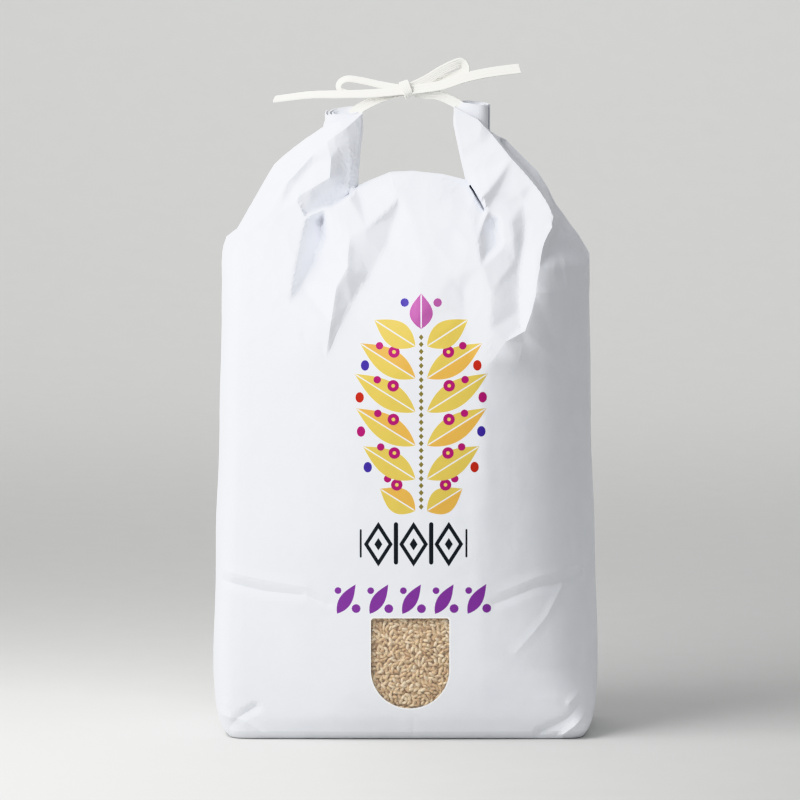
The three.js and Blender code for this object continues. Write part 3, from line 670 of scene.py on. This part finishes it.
faces = front_faces.tolist() + (back_faces + len(front)).tolist()
faces += (np.array(strip_faces) + len(front) + len(back)).tolist()
sack_mesh = new_mesh("paper_sack", np.vstack([front, back] + rows), faces)
ink_index = sack_mesh.attributes.new("ink_index", "INT", "FACE")
ink_index.data.foreach_set("value", np.concatenate([front_ink, np.zeros(len(faces) - len(front_ink), int)]))
work = bmesh.new()
work.from_mesh(sack_mesh)
bmesh.ops.remove_doubles(work, verts=work.verts, dist=2e-5)
work.verts.ensure_lookup_table()

# Cut edge of the window: the paper's own thickness.
PAPER_THICKNESS = 0.0005
cut_edges = [e for e in work.edges
             if e.is_boundary and all(0.01 < v.co.z < 0.09 and v.co.y < 0 for v in e.verts)]
for item in bmesh.ops.extrude_edge_only(work, edges=cut_edges)["geom"]:
    if isinstance(item, bmesh.types.BMVert):
        item.co.y += PAPER_THICKNESS

# Base: the block bottom's folded flaps, flat on the ground. The rim's points come first, in order round it.
rim = [e for e in work.edges if e.is_boundary and all(v.co.z < 0.0008 for v in e.verts)]
order, seen = [rim[0].verts[0]], set()
while True:
    onward = [e for e in order[-1].link_edges if e in rim and e not in seen]
    if not onward:
        break
    seen.add(onward[0])
    order.append(onward[0].other_vert(order[-1]))
if order[0] is order[-1]:
    order.pop()
rim_xy = np.array([(v.co.x * 1000, v.co.y * 1000) for v in order])
FLAP_LINES = [[(-106, -48), (-60, 0)], [(-106, 48), (-60, 0)], [(106, -48), (60, 0)], [(106, 48), (60, 0)],
              [(-60, 0), (60, 0)]]
base_uv, base_faces = triangulate([rim_xy], [resample(line, 4)[1:-1] for line in FLAP_LINES],
                                  [(rim_xy[:, 1].min(), rim_xy[:, 1].max(), 5.0)])
base_z = np.full(len(base_uv), 0.15)
for line in FLAP_LINES:
    distance, _ = line_distance(base_uv, line)
    base_z += 0.6 * np.clip(1 - distance / 4, 0, 1)
base_verts = order + [work.verts.new((x / 1000, y / 1000, z / 1000))
                      for (x, y), z in zip(base_uv[len(order):], base_z[len(order):])]
for corners in base_faces:
    corner_verts = [base_verts[i] for i in corners]
    if not work.faces.get(corner_verts):
        work.faces.new(corner_verts)

# Hairline gaps close where the points of the two halves don't pair up.
loose = [v for v in work.verts if v.is_boundary and (v.co.z > 0.2 or v.co.y > 0)]
bmesh.ops.remove_doubles(work, verts=loose, dist=0.0004)
bmesh.ops.holes_fill(work, edges=[e for e in work.edges if e.is_boundary], sides=8)
bmesh.ops.triangulate(work, faces=[f for f in work.faces if len(f.verts) > 4])
bmesh.ops.recalc_face_normals(work, faces=work.faces)
work.to_mesh(sack_mesh)
work.free()

# Small crumples: the coated paper keeps a fine random break wherever it has been bent hard, which is above
# the filled part. From here on lengths are metres, as in the mesh.
points = np.empty(len(sack_mesh.vertices) * 3)
sack_mesh.vertices.foreach_get("co", points)
points = points.reshape(-1, 3)
levels = SECTIONS[:, 0] / 1000
half_widths = np.interp(points[:, 2], levels, SECTIONS[:, 1] / 1000)
half_depths = np.interp(points[:, 2], levels, (SECTIONS[:, 4] + SECTIONS[:, 5]) / 1000)
steep_x = np.sign(points[:, 0]) * np.abs(points[:, 0] / half_widths) ** 5 / half_widths
steep_y = np.sign(points[:, 1]) * (np.abs(points[:, 1] / half_depths) ** 5 + 0.002) / half_depths
steep = np.column_stack([steep_x, steep_y, np.zeros(len(points))])
outwards = steep / (np.linalg.norm(steep, axis=1)[:, None] + 1e-9)
STILL_BELOW = 0.006
WINDOW_MIDDLE, WINDOW_CALM = (2.4, 45), 32.0
for k, (x, y, z) in enumerate(points):
    if z < STILL_BELOW:
        continue
    bent = min(1.0, max(0.0, (z - 0.235) / 0.06))
    wave = noise.noise(Vector((x * 26, y * 26, z * 20))) * (0.7 - 0.3 * bent)
    break_line = (0.5 - abs(noise.noise(Vector((x * 75 + 5, y * 75, z * 52))))) * (0.12 + 0.75 * bent)
    from_window = (x * 1000 - WINDOW_MIDDLE[0]) ** 2 + (z * 1000 - WINDOW_MIDDLE[1]) ** 2
    calm = math.exp(-from_window / (2 * WINDOW_CALM ** 2)) if y < 0 else 0
    fade = (1 - calm) * min(1.0, (z - STILL_BELOW) / 0.02)
    points[k] += outwards[k] * (wave + break_line) * 0.001 * fade
sack_mesh.vertices.foreach_set("co", points.ravel())
sack_mesh.update()


def new_object(name, data):
    thing = bpy.data.objects.new(name, data)
    bpy.context.scene.collection.objects.link(thing)
    return thing


sack = new_object("paper_sack", sack_mesh)


def linear(code):
    """An sRGB hex colour as linear RGBA."""
    values = [int(code[k:k + 2], 16) / 255 for k in (1, 3, 5)]
    return tuple(v / 12.92 if v <= 0.04045 else ((v + 0.055) / 1.055) ** 2.4 for v in values) + (1.0,)


def add_node(tree, kind, settings=None, inputs=None):
    """Add a node to a tree, with its settings, its values and its links."""
    node = tree.nodes.new(kind)
    for name, value in (settings or {}).items():
        setattr(node, name, value)
    for key, value in (inputs or {}).items():
        if isinstance(value, bpy.types.NodeSocket):
            tree.links.new(value, node.inputs[key])
        else:
            node.inputs[key].default_value = value
    return node


def new_material(name):
    material = bpy.data.materials.new(name)
    material.use_nodes = True
    tree = material.node_tree
    shader = tree.nodes["Principled BSDF"]
    coordinates = add_node(tree, "ShaderNodeTexCoord").outputs["Object"]
    return material, tree, shader, coordinates


# Coated kraft paper: bleached kraft, clay-coated and calendered, so it is smooth and slightly glossy, with
# faint cloudy fibres that show as uneven whiteness and an uneven sheen.
coated_paper, tree, shader, place = new_material("coated_kraft_paper")
cloud = add_node(tree, "ShaderNodeTexNoise", inputs={"Vector": place, "Scale": 60, "Detail": 3})
tint = add_node(tree, "ShaderNodeMix", {"data_type": "RGBA"},
                {"Factor": cloud.outputs["Fac"], "A": linear("#EAECF1"), "B": linear("#F3F4F8")})
fibre = add_node(tree, "ShaderNodeTexNoise", inputs={"Vector": place, "Scale": 900, "Detail": 2})
crush = add_node(tree, "ShaderNodeTexNoise", inputs={"Vector": place, "Scale": 85, "Detail": 2,
                                                     "Roughness": 0.45})
sheen = add_node(tree, "ShaderNodeMapRange", inputs={"Value": cloud.outputs["Fac"],
                                                     "To Min": 0.42, "To Max": 0.5})
bump_low = add_node(tree, "ShaderNodeBump", inputs={"Height": crush.outputs["Fac"], "Strength": 0.25,
                                                    "Distance": 0.0012})
bump = add_node(tree, "ShaderNodeBump", inputs={"Height": fibre.outputs["Fac"], "Strength": 0.2,
                                                "Distance": 0.00015, "Normal": bump_low.outputs["Normal"]})
ink = add_node(tree, "ShaderNodeAttribute", {"attribute_name": "ink"})
printed = add_node(tree, "ShaderNodeMix", {"data_type": "RGBA"},
                   {"Factor": ink.outputs["Alpha"], "A": tint.outputs["Result"], "B": ink.outputs["Color"]})
tree.links.new(printed.outputs["Result"], shader.inputs["Base Color"])
tree.links.new(sheen.outputs["Result"], shader.inputs["Roughness"])
tree.links.new(bump.outputs["Normal"], shader.inputs["Normal"])
shader.inputs["IOR"].default_value = 1.5
sack_mesh.materials.append(coated_paper)
ink_colours = [(0, 0, 0, 0)] + [linear(ink) for ink in INKS[1:]]
ink_layer = sack_mesh.attributes.new("ink", "FLOAT_COLOR", "CORNER")
ink_of_face = [item.value for item in sack_mesh.attributes["ink_index"].data]
for polygon in sack_mesh.polygons:
    for index in polygon.loop_indices:
        ink_layer.data[index].color = ink_colours[ink_of_face[polygon.index]]

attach(sack, "root")
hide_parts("sack")

# ---------------------------------------------------------------------------
# Rolled ends of the mouth: the sack's paper, rolled three times and bent up at each side, so that the cut
# ends of its layers show as a flattened spiral on top of each ear.
# ---------------------------------------------------------------------------
LAYER_PITCH, LAYER_THICKNESS = 2.1, 0.5


def roll_end(centre, half, top, slope, bottom, start, turns=2.7):
    """A flattened spiral of paper: verts and faces. slope is how far its top rises along x and along y."""
    count = int(36 * turns)
    verts, faces = [], []
    for k in range(count + 1):
        turn = start + 2 * math.pi * turns * k / count
        shrink = LAYER_PITCH * turns * k / count
        for wall in (0, LAYER_THICKNESS):
            x = (half[0] - shrink - wall) * math.copysign(abs(math.cos(turn)) ** 0.8, math.cos(turn))
            y = (half[1] - 0.8 * shrink - wall) * math.copysign(abs(math.sin(turn)) ** 0.8, math.sin(turn))
            ragged = 0.5 * noise.noise(Vector((turn * 1.3, centre[0], 0))) - 0.12 * shrink
            z = top + slope[0] * x + slope[1] * y + ragged
            verts += [(centre[0] + x, centre[1] + y, bottom), (centre[0] + x, centre[1] + y, z)]
    for k in range(count):
        a, b = 4 * k, 4 * k + 4
        faces += [(a, b, b + 1, a + 1), (a + 1, b + 1, b + 3, a + 3), (a + 3, b + 3, b + 2, a + 2),
                  (a + 2, b + 2, b, a)]
    faces += [(0, 1, 3, 2), (4 * count + 2, 4 * count + 3, 4 * count + 1, 4 * count)]
    return verts, faces


def face_outwards(mesh):
    work = bmesh.new()
    work.from_mesh(mesh)
    bmesh.ops.recalc_face_normals(work, faces=work.faces)
    work.to_mesh(mesh)
    work.free()


left_verts, left_faces = roll_end((-38, 3.0), (11, 7.6), 374.6, (0.12, 0.34), 352, 2.6)
right_verts, right_faces = roll_end((41.2, 3.4), (10.4, 7.4), 379.6, (-0.09, 0.1), 352, 0.4)
right_faces = [tuple(i + len(left_verts) for i in corners) for corners in right_faces]
roll_mesh = new_mesh("rolled_mouth_ends", left_verts + right_verts, left_faces + right_faces)
face_outwards(roll_mesh)
rolled_ends = new_object("rolled_mouth_ends", roll_mesh)
roll_mesh.materials.append(coated_paper)
no_ink = roll_mesh.attributes.new("ink", "FLOAT_COLOR", "CORNER")
no_ink.data.foreach_set("color", [0.0] * 4 * len(roll_mesh.loops))
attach(rolled_ends, "root")
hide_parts("sack")

# ---------------------------------------------------------------------------
# Flat paper string: pressed paper cord in a flat strip 6 mm wide. Two leads come out of the roll's ends,
# cross at the knot between the ears, and are tied in a bow with two loops and two cut tails.
# ---------------------------------------------------------------------------
STRING_WIDTH, STRING_THICKNESS, STRING_RIBS = 6.0, 1.0, 16
LEFT_LEAD = [(-0.6, 0.4, 386), (-9.7, 1, 384.3), (-18.8, 1, 381), (-27, 0.8, 376.8), (-33, 0.6, 372.5)]
RIGHT_LEAD = [(3, 0.4, 386.5), (11.5, 1, 384.6), (20, 1, 384), (30, 0.8, 379.6), (37, 0.6, 374.5)]
LEFT_TAIL = [(-0.5, -2.2, 387.2), (-18.8, -3.2, 385.4), (-39.9, -3, 384.8), (-58, -2.6, 384.4),
             (-79.3, -2, 381.8)]
RIGHT_TAIL = [(2, -2.2, 387.4), (20.6, -3.4, 390.1), (35.7, -3.2, 394.8), (50.8, -2.6, 398), (68.4, -2, 400.3)]
LEFT_LOOP = [(-1, -0.6, 388), (-14, 1.2, 390.2), (-26.8, 1.8, 393), (-35, 2, 394), (-39.6, 2.6, 391.8),
             (-40.2, 3.4, 388), (-35, 4, 385.4), (-22, 4.2, 385.2), (-1, 2.4, 386.4)]
RIGHT_LOOP = [(2.2, -0.6, 388.6), (11.5, 0.4, 392.8), (21, 0.6, 398.6), (29, 0.8, 402.6), (34, 1.6, 403.6),
              (35.2, 2.6, 398.4), (26, 3.4, 394.4), (14, 3.2, 391.6), (2.2, 2.2, 388)]
KNOT_WRAP = [(-1.6, -2.4, 392.4), (-0.8, -4.0, 390.6), (0.3, -4.7, 388.2), (1.4, -4.4, 385.6),
             (2.4, -2.4, 383.2)]


def curve_through(points, count):
    """Even points on a smooth curve through the given points."""
    p = np.array(points, float)
    p = np.vstack([2 * p[0] - p[1], p, 2 * p[-1] - p[-2]])
    out = []
    for k in range(1, len(p) - 2):
        for t in np.linspace(0, 1, 24, endpoint=False):
            a, b, c, d = p[k - 1:k + 3]
            out.append(0.5 * (2 * b + (c - a) * t + (2 * a - 5 * b + 4 * c - d) * t * t
                              + (3 * b - a - 3 * c + d) * t ** 3))
    out.append(p[-2])
    out = np.array(out)
    length = np.concatenate([[0], np.cumsum(np.linalg.norm(np.diff(out, axis=0), axis=1))])
    even = np.linspace(0, length[-1], count)
    return np.column_stack([np.interp(even, length, out[:, k]) for k in range(3)]), length[-1]


def flat_strip(path, lean, width, cut):
    """Flat string along a path: verts, faces and the place across and along it. lean is in degrees, from the
    path's start to its end; cut slants its end.
    """
    spine, length = curve_through(path, max(8, int(curve_through(path, 50)[1] / 0.9)))
    shares = [-1 + 2 * k / STRING_RIBS for k in range(STRING_RIBS + 1)]
    section = [(u, 0.5 + 0.10 * math.cos(u * math.pi * 5)) for u in shares]
    section += [(u, -v) for u, v in reversed(section)]
    verts, uvs = [], []
    for k, p in enumerate(spine):
        ahead = spine[min(k + 1, len(spine) - 1)] - spine[max(k - 1, 0)]
        ahead /= np.linalg.norm(ahead)
        across = np.cross((0, -1, 0), ahead)
        across /= np.linalg.norm(across)
        up = np.cross(ahead, across)
        angle = math.radians(lean[0] + (lean[1] - lean[0]) * k / (len(spine) - 1))
        side = across * math.cos(angle) + up * math.sin(angle)
        normal = np.cross(ahead, side)
        slant = cut if k == len(spine) - 1 else 0
        for u, v in section:
            q = p + side * u * width / 2 + normal * v * STRING_THICKNESS + ahead * slant * u
            verts.append(q)
            uvs.append((u * width / 2, length * k / (len(spine) - 1)))
    n = len(section)
    faces = []
    for k in range(len(spine) - 1):
        for j in range(n):
            a, b = k * n + j, k * n + (j + 1) % n
            faces.append((a, b, b + n, a + n))
    faces.append(tuple(range(n))[::-1])
    faces.append(tuple(range((len(spine) - 1) * n, len(spine) * n)))
    return verts, faces, uvs


string_verts, string_faces, string_uvs = [], [], []
for path, lean, width, cut in [
        (LEFT_LEAD, (40, 20), STRING_WIDTH, 0), (RIGHT_LEAD, (30, 20), STRING_WIDTH, 0),
        (LEFT_TAIL, (40, 62), STRING_WIDTH, 0.8),
        (RIGHT_TAIL, (-30, -18), 5.8, -0.4), (LEFT_LOOP, (50, 70), 5.4, 0), (RIGHT_LOOP, (8, 30), 5.6, 0),
        (KNOT_WRAP, (-8, -8), 5.4, 0)]:
    verts, faces, uvs = flat_strip(path, lean, width, cut)
    string_faces += [tuple(i + len(string_verts) for i in corners) for corners in faces]
    string_verts += verts
    string_uvs += uvs
string_mesh = new_mesh("tie_bow", string_verts, string_faces)
uv_layer = string_mesh.uv_layers.new(name="along_string")
for loop in string_mesh.loops:
    uv_layer.data[loop.index].uv = string_uvs[loop.vertex_index]
face_outwards(string_mesh)
tie_bow = new_object("tie_bow", string_mesh)

# Paper string: several twisted paper yarns glued side by side and pressed flat, which leaves fine ribs
# along it and a dry, matt, warm white.
paper_string, tree, shader, place = new_material("pressed_paper_string")
along = add_node(tree, "ShaderNodeUVMap", {"uv_map": "along_string"}).outputs["UV"]
yarn = add_node(tree, "ShaderNodeTexWave", {"bands_direction": "X"},
                {"Vector": along, "Scale": 0.42, "Distortion": 0.6, "Detail": 2})
speck = add_node(tree, "ShaderNodeTexNoise", inputs={"Vector": place, "Scale": 700, "Detail": 2})
shade = add_node(tree, "ShaderNodeMix", {"data_type": "RGBA"},
                 {"Factor": speck.outputs["Fac"], "A": linear("#EFEEE8"), "B": linear("#FAF9F5")})
height = add_node(tree, "ShaderNodeMath", {"operation": "ADD"},
                  {0: yarn.outputs["Fac"], 1: speck.outputs["Fac"]})
bump = add_node(tree, "ShaderNodeBump", inputs={"Height": height.outputs["Value"], "Strength": 0.5,
                                                "Distance": 0.0002})
tree.links.new(shade.outputs["Result"], shader.inputs["Base Color"])
tree.links.new(bump.outputs["Normal"], shader.inputs["Normal"])
shader.inputs["Roughness"].default_value = 0.8
string_mesh.materials.append(paper_string)
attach(tie_bow, "root")
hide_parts("tie_string")

# ---------------------------------------------------------------------------
# Window: a clear film glued behind the opening in the front panel, stretched over the grains.
# ---------------------------------------------------------------------------
def sheet_behind(name, grow, step, depth, ripple=0.0):
    """Mesh of a sheet that lies at a depth behind the window and reaches past its rim by grow."""
    outline = window_loop(grow=grow, step=step)
    flat, faces = triangulate([outline], [], [(outline[:, 1].min(), outline[:, 1].max(), step)])
    points = []
    for x, z in flat:
        y = float(on_bag(round_bag(x, z), z)[1])
        points.append((x, y + depth + ripple * noise.noise(Vector((x * 0.09, 3.0, z * 0.05))), z))
    mesh = new_mesh(name, points, faces.tolist())
    if mesh.polygons[0].normal.y > 0:
        mesh.flip_normals()
    return mesh


film_mesh = sheet_behind("clear_window", grow=2.5, step=2.0, depth=0.45, ripple=0.12)
clear_window = new_object("clear_window", film_mesh)
for polygon in film_mesh.polygons:
    polygon.use_smooth = True

# Clear film: oriented polypropylene, cast and stretched, water clear with a faint glossy ripple.
clear_film, tree, shader, place = new_material("clear_polypropylene_film")
ripple = add_node(tree, "ShaderNodeTexNoise", inputs={"Vector": place, "Scale": 140, "Detail": 1})
bump = add_node(tree, "ShaderNodeBump", inputs={"Height": ripple.outputs["Fac"], "Strength": 0.3,
                                                "Distance": 0.0005})
tree.links.new(bump.outputs["Normal"], shader.inputs["Normal"])
shader.inputs["Base Color"].default_value = linear("#FFFFFF")
shader.inputs["Roughness"].default_value = 0.12
shader.inputs["IOR"].default_value = 1.49
shader.inputs["Alpha"].default_value = 0.1
film_mesh.materials.append(clear_film)
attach(clear_window, "root")
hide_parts("window_film")

# ---------------------------------------------------------------------------
# Brown rice behind the window: short-grain rice with its bran on, about 5 mm long, lying every way over
# more of the same.
# ---------------------------------------------------------------------------
rice_bed = new_object("rice_bed", sheet_behind("rice_bed", grow=3.2, step=2.5, depth=2.8))

# One grain: an oval body, blunter at the germ end, with one side of that end pressed in a little.
GRAIN_LENGTH, GRAIN_WIDTH, GRAIN_THICKNESS = 4.6, 2.6, 2.1
grain_mesh = bpy.data.meshes.new("grain")
work = bmesh.new()
bmesh.ops.create_uvsphere(work, u_segments=10, v_segments=6, radius=1)
for v in work.verts:
    x, y, z = v.co
    v.co = Vector((z * GRAIN_LENGTH / 2, x * GRAIN_WIDTH / 2 * (1 + 0.08 * z), y * GRAIN_THICKNESS / 2))
    if z > 0.6 and x > 0:
        v.co.y -= 0.35
    v.co *= 0.001
for f in work.faces:
    f.smooth = True
bmesh.ops.recalc_face_normals(work, faces=work.faces)
work.to_mesh(grain_mesh)
work.free()
grain = new_object("grain", grain_mesh)

# Brown rice: bran-coated grains, waxy and translucent, each a little lighter or darker than its neighbour.
brown_rice, tree, shader, place = new_material("brown_rice_bran")
tone = add_node(tree, "ShaderNodeAttribute", {"attribute_name": "grain_tone"}).outputs["Fac"]
bran = add_node(tree, "ShaderNodeValToRGB", inputs={"Fac": tone})
bran.color_ramp.elements[0].color = linear("#C9A376")
bran.color_ramp.elements[1].color = linear("#F7E4C4")
bran.color_ramp.elements.new(0.5).color = linear("#E6C89C")
mottle = add_node(tree, "ShaderNodeTexNoise", inputs={"Vector": place, "Scale": 900, "Detail": 2})
colour = add_node(tree, "ShaderNodeMix", {"data_type": "RGBA", "blend_type": "MULTIPLY"},
                  {"Factor": 0.2, "A": bran.outputs["Color"], "B": mottle.outputs["Color"]})
bump = add_node(tree, "ShaderNodeBump", inputs={"Height": mottle.outputs["Fac"], "Strength": 0.3,
                                                "Distance": 0.0002})
tree.links.new(colour.outputs["Result"], shader.inputs["Base Color"])
tree.links.new(bump.outputs["Normal"], shader.inputs["Normal"])
shader.inputs["Roughness"].default_value = 0.45

# The heap: two layers of grains, one behind the other, scattered evenly over the bed and turned every way.
GRAIN_SPACING, LAYER_DEPTH = 0.0018, 0.0009
tree = bpy.data.node_groups.new("scatter_grains", "GeometryNodeTree")
tree.interface.new_socket("Geometry", in_out="INPUT", socket_type="NodeSocketGeometry")
spacing_socket = tree.interface.new_socket("Grain spacing", in_out="INPUT", socket_type="NodeSocketFloat")
depth_socket = tree.interface.new_socket("Depth of layer", in_out="INPUT", socket_type="NodeSocketFloat")
tree.interface.new_socket("Geometry", in_out="OUTPUT", socket_type="NodeSocketGeometry")
entry = add_node(tree, "NodeGroupInput")
layers = []
for layer, seed in enumerate((11, 23)):
    scatter = add_node(tree, "GeometryNodeDistributePointsOnFaces", {"distribute_method": "POISSON"},
                       {"Mesh": entry.outputs["Geometry"], "Distance Min": entry.outputs["Grain spacing"],
                        "Density Max": 400000.0, "Seed": seed})
    sink = add_node(tree, "ShaderNodeMath", {"operation": "MULTIPLY"},
                    {0: entry.outputs["Depth of layer"], 1: float(layer)})
    shift = add_node(tree, "ShaderNodeCombineXYZ", inputs={"Y": sink.outputs["Value"]})
    moved = add_node(tree, "GeometryNodeSetPosition", inputs={"Geometry": scatter.outputs["Points"],
                                                              "Offset": shift.outputs["Vector"]})
    layers.append(moved.outputs["Geometry"])
joined = add_node(tree, "GeometryNodeJoinGeometry")
for socket in layers:
    tree.links.new(socket, joined.inputs["Geometry"])
turn = add_node(tree, "FunctionNodeRandomValue", {"data_type": "FLOAT_VECTOR"}, {"Seed": 5})
turn.inputs[0].default_value = (-0.4, -3.14, -0.7)
turn.inputs[1].default_value = (0.4, 3.14, 0.7)
size = add_node(tree, "FunctionNodeRandomValue", {"data_type": "FLOAT"}, {"Seed": 8})
size.inputs[2].default_value = 0.88
size.inputs[3].default_value = 1.06
source = add_node(tree, "GeometryNodeObjectInfo", inputs={"Object": grain})
copies = add_node(tree, "GeometryNodeInstanceOnPoints",
                  inputs={"Points": joined.outputs["Geometry"], "Instance": source.outputs["Geometry"],
                          "Rotation": turn.outputs[0], "Scale": size.outputs[1]})
tone_value = add_node(tree, "FunctionNodeRandomValue", {"data_type": "FLOAT"}, {"Seed": 13})
tone_store = add_node(tree, "GeometryNodeStoreNamedAttribute", {"domain": "INSTANCE", "data_type": "FLOAT"},
                      {"Geometry": copies.outputs["Instances"], "Name": "grain_tone",
                       "Value": tone_value.outputs[1]})
real = add_node(tree, "GeometryNodeRealizeInstances", inputs={"Geometry": tone_store.outputs["Geometry"]})
painted = add_node(tree, "GeometryNodeSetMaterial", inputs={"Geometry": real.outputs["Geometry"],
                                                            "Material": brown_rice})
deeper = add_node(tree, "ShaderNodeCombineXYZ", inputs={"Y": LAYER_DEPTH})
core = add_node(tree, "GeometryNodeSetPosition", inputs={"Geometry": entry.outputs["Geometry"],
                                                         "Offset": deeper.outputs["Vector"]})
core_painted = add_node(tree, "GeometryNodeSetMaterial", inputs={"Geometry": core.outputs["Geometry"],
                                                                 "Material": brown_rice})
heap = add_node(tree, "GeometryNodeJoinGeometry")
tree.links.new(core_painted.outputs["Geometry"], heap.inputs["Geometry"])
tree.links.new(painted.outputs["Geometry"], heap.inputs["Geometry"])
add_node(tree, "NodeGroupOutput", inputs={"Geometry": heap.outputs["Geometry"]})
modifier = rice_bed.modifiers.new("scatter_grains", "NODES")
modifier.node_group = tree
modifier[spacing_socket.identifier] = GRAIN_SPACING
modifier[depth_socket.identifier] = LAYER_DEPTH
evaluated = rice_bed.evaluated_get(bpy.context.evaluated_depsgraph_get())
rice_mesh = bpy.data.meshes.new_from_object(evaluated)
rice_mesh.name = "rice_grains"
bpy.data.objects.remove(rice_bed)
bpy.data.objects.remove(grain)
rice_grains = new_object("rice_grains", rice_mesh)
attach(rice_grains, "root")
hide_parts("rice")

# ---------------------------------------------------------------------------
# Studio: a matt paper sweep that runs from the floor up behind the sack, one large soft light from the
# upper left, a pale surround, and the camera.
# ---------------------------------------------------------------------------
SWEEP_BACK, SWEEP_RADIUS, SWEEP_TOP = 3.8, 1.6, 5.0
profile = [(-5.0, 0.0), (-1.0, 0.0)]
profile += [(SWEEP_BACK - SWEEP_RADIUS + SWEEP_RADIUS * math.sin(a), SWEEP_RADIUS - SWEEP_RADIUS * math.cos(a))
            for a in np.linspace(0, math.pi / 2, 25)]
profile.append((SWEEP_BACK, SWEEP_TOP))
sweep_mesh = bpy.data.meshes.new("paper_sweep")
sweep_mesh.from_pydata([(x, y, z - 0.0004) for y, z in profile for x in (-5.0, 5.0)], [],
                       [(2 * k, 2 * k + 1, 2 * k + 3, 2 * k + 2) for k in range(len(profile) - 1)])
for polygon in sweep_mesh.polygons:
    polygon.use_smooth = True
sweep = new_object("paper_sweep", sweep_mesh)
sweep_paper, tree, shader, place = new_material("matt_backdrop_paper")
tooth = add_node(tree, "ShaderNodeTexNoise", inputs={"Vector": place, "Scale": 40, "Detail": 2})
tone = add_node(tree, "ShaderNodeMix", {"data_type": "RGBA"},
                {"Factor": tooth.outputs["Fac"], "A": linear("#CBCBC9"), "B": linear("#CECECC")})
tree.links.new(tone.outputs["Result"], shader.inputs["Base Color"])
shader.inputs["Roughness"].default_value = 0.95
sweep_mesh.materials.append(sweep_paper)

world = bpy.data.worlds.new("studio")
bpy.context.scene.world = world
world.use_nodes = True
world.node_tree.nodes["Background"].inputs["Color"].default_value = linear("#FCFDFF")
world.node_tree.nodes["Background"].inputs["Strength"].default_value = 0.475
bpy.context.scene.view_settings.view_transform = "Khronos PBR Neutral"
bpy.context.scene.view_settings.exposure = 0.1


def soft_box(name, place, aim, size, power, colour):
    data = bpy.data.lights.new(name, "AREA")
    data.shape = "RECTANGLE"
    data.size, data.size_y = size
    data.energy = power
    data.color = linear(colour)[:3]
    light = new_object(name, data)
    light.location = place
    light.rotation_euler = (Vector(aim) - Vector(place)).to_track_quat("-Z", "Y").to_euler()


soft_box("key", (-0.43, -0.27, 0.56), (0, 0, 0.2), (0.5, 0.5), 5.8, "#FFFFFF")
soft_box("backdrop", (0.0, 1.9, 2.7), (0, 3.5, 0.5), (3.6, 1.0), 52, "#FFFFFF")

# Camera: far off with a long lens, a little above the sack; PIXEL is how much of the sack one pixel shows.
CAMERA_DISTANCE, CAMERA_TILT = 3.0, math.radians(5.5)
AIM = Vector((-0.0036, 0.0, 0.1994))
PIXEL, PICTURE = 0.000607, 800
camera_data = bpy.data.cameras.new("camera")
camera_data.sensor_width = 36
camera_data.lens = camera_data.sensor_width * CAMERA_DISTANCE / (PICTURE * PIXEL)
camera = new_object("camera", camera_data)
camera.location = AIM + CAMERA_DISTANCE * Vector((0, -math.cos(CAMERA_TILT), math.sin(CAMERA_TILT)))
camera.rotation_euler = (AIM - camera.location).to_track_quat("-Z", "Y").to_euler()
bpy.context.scene.camera = camera
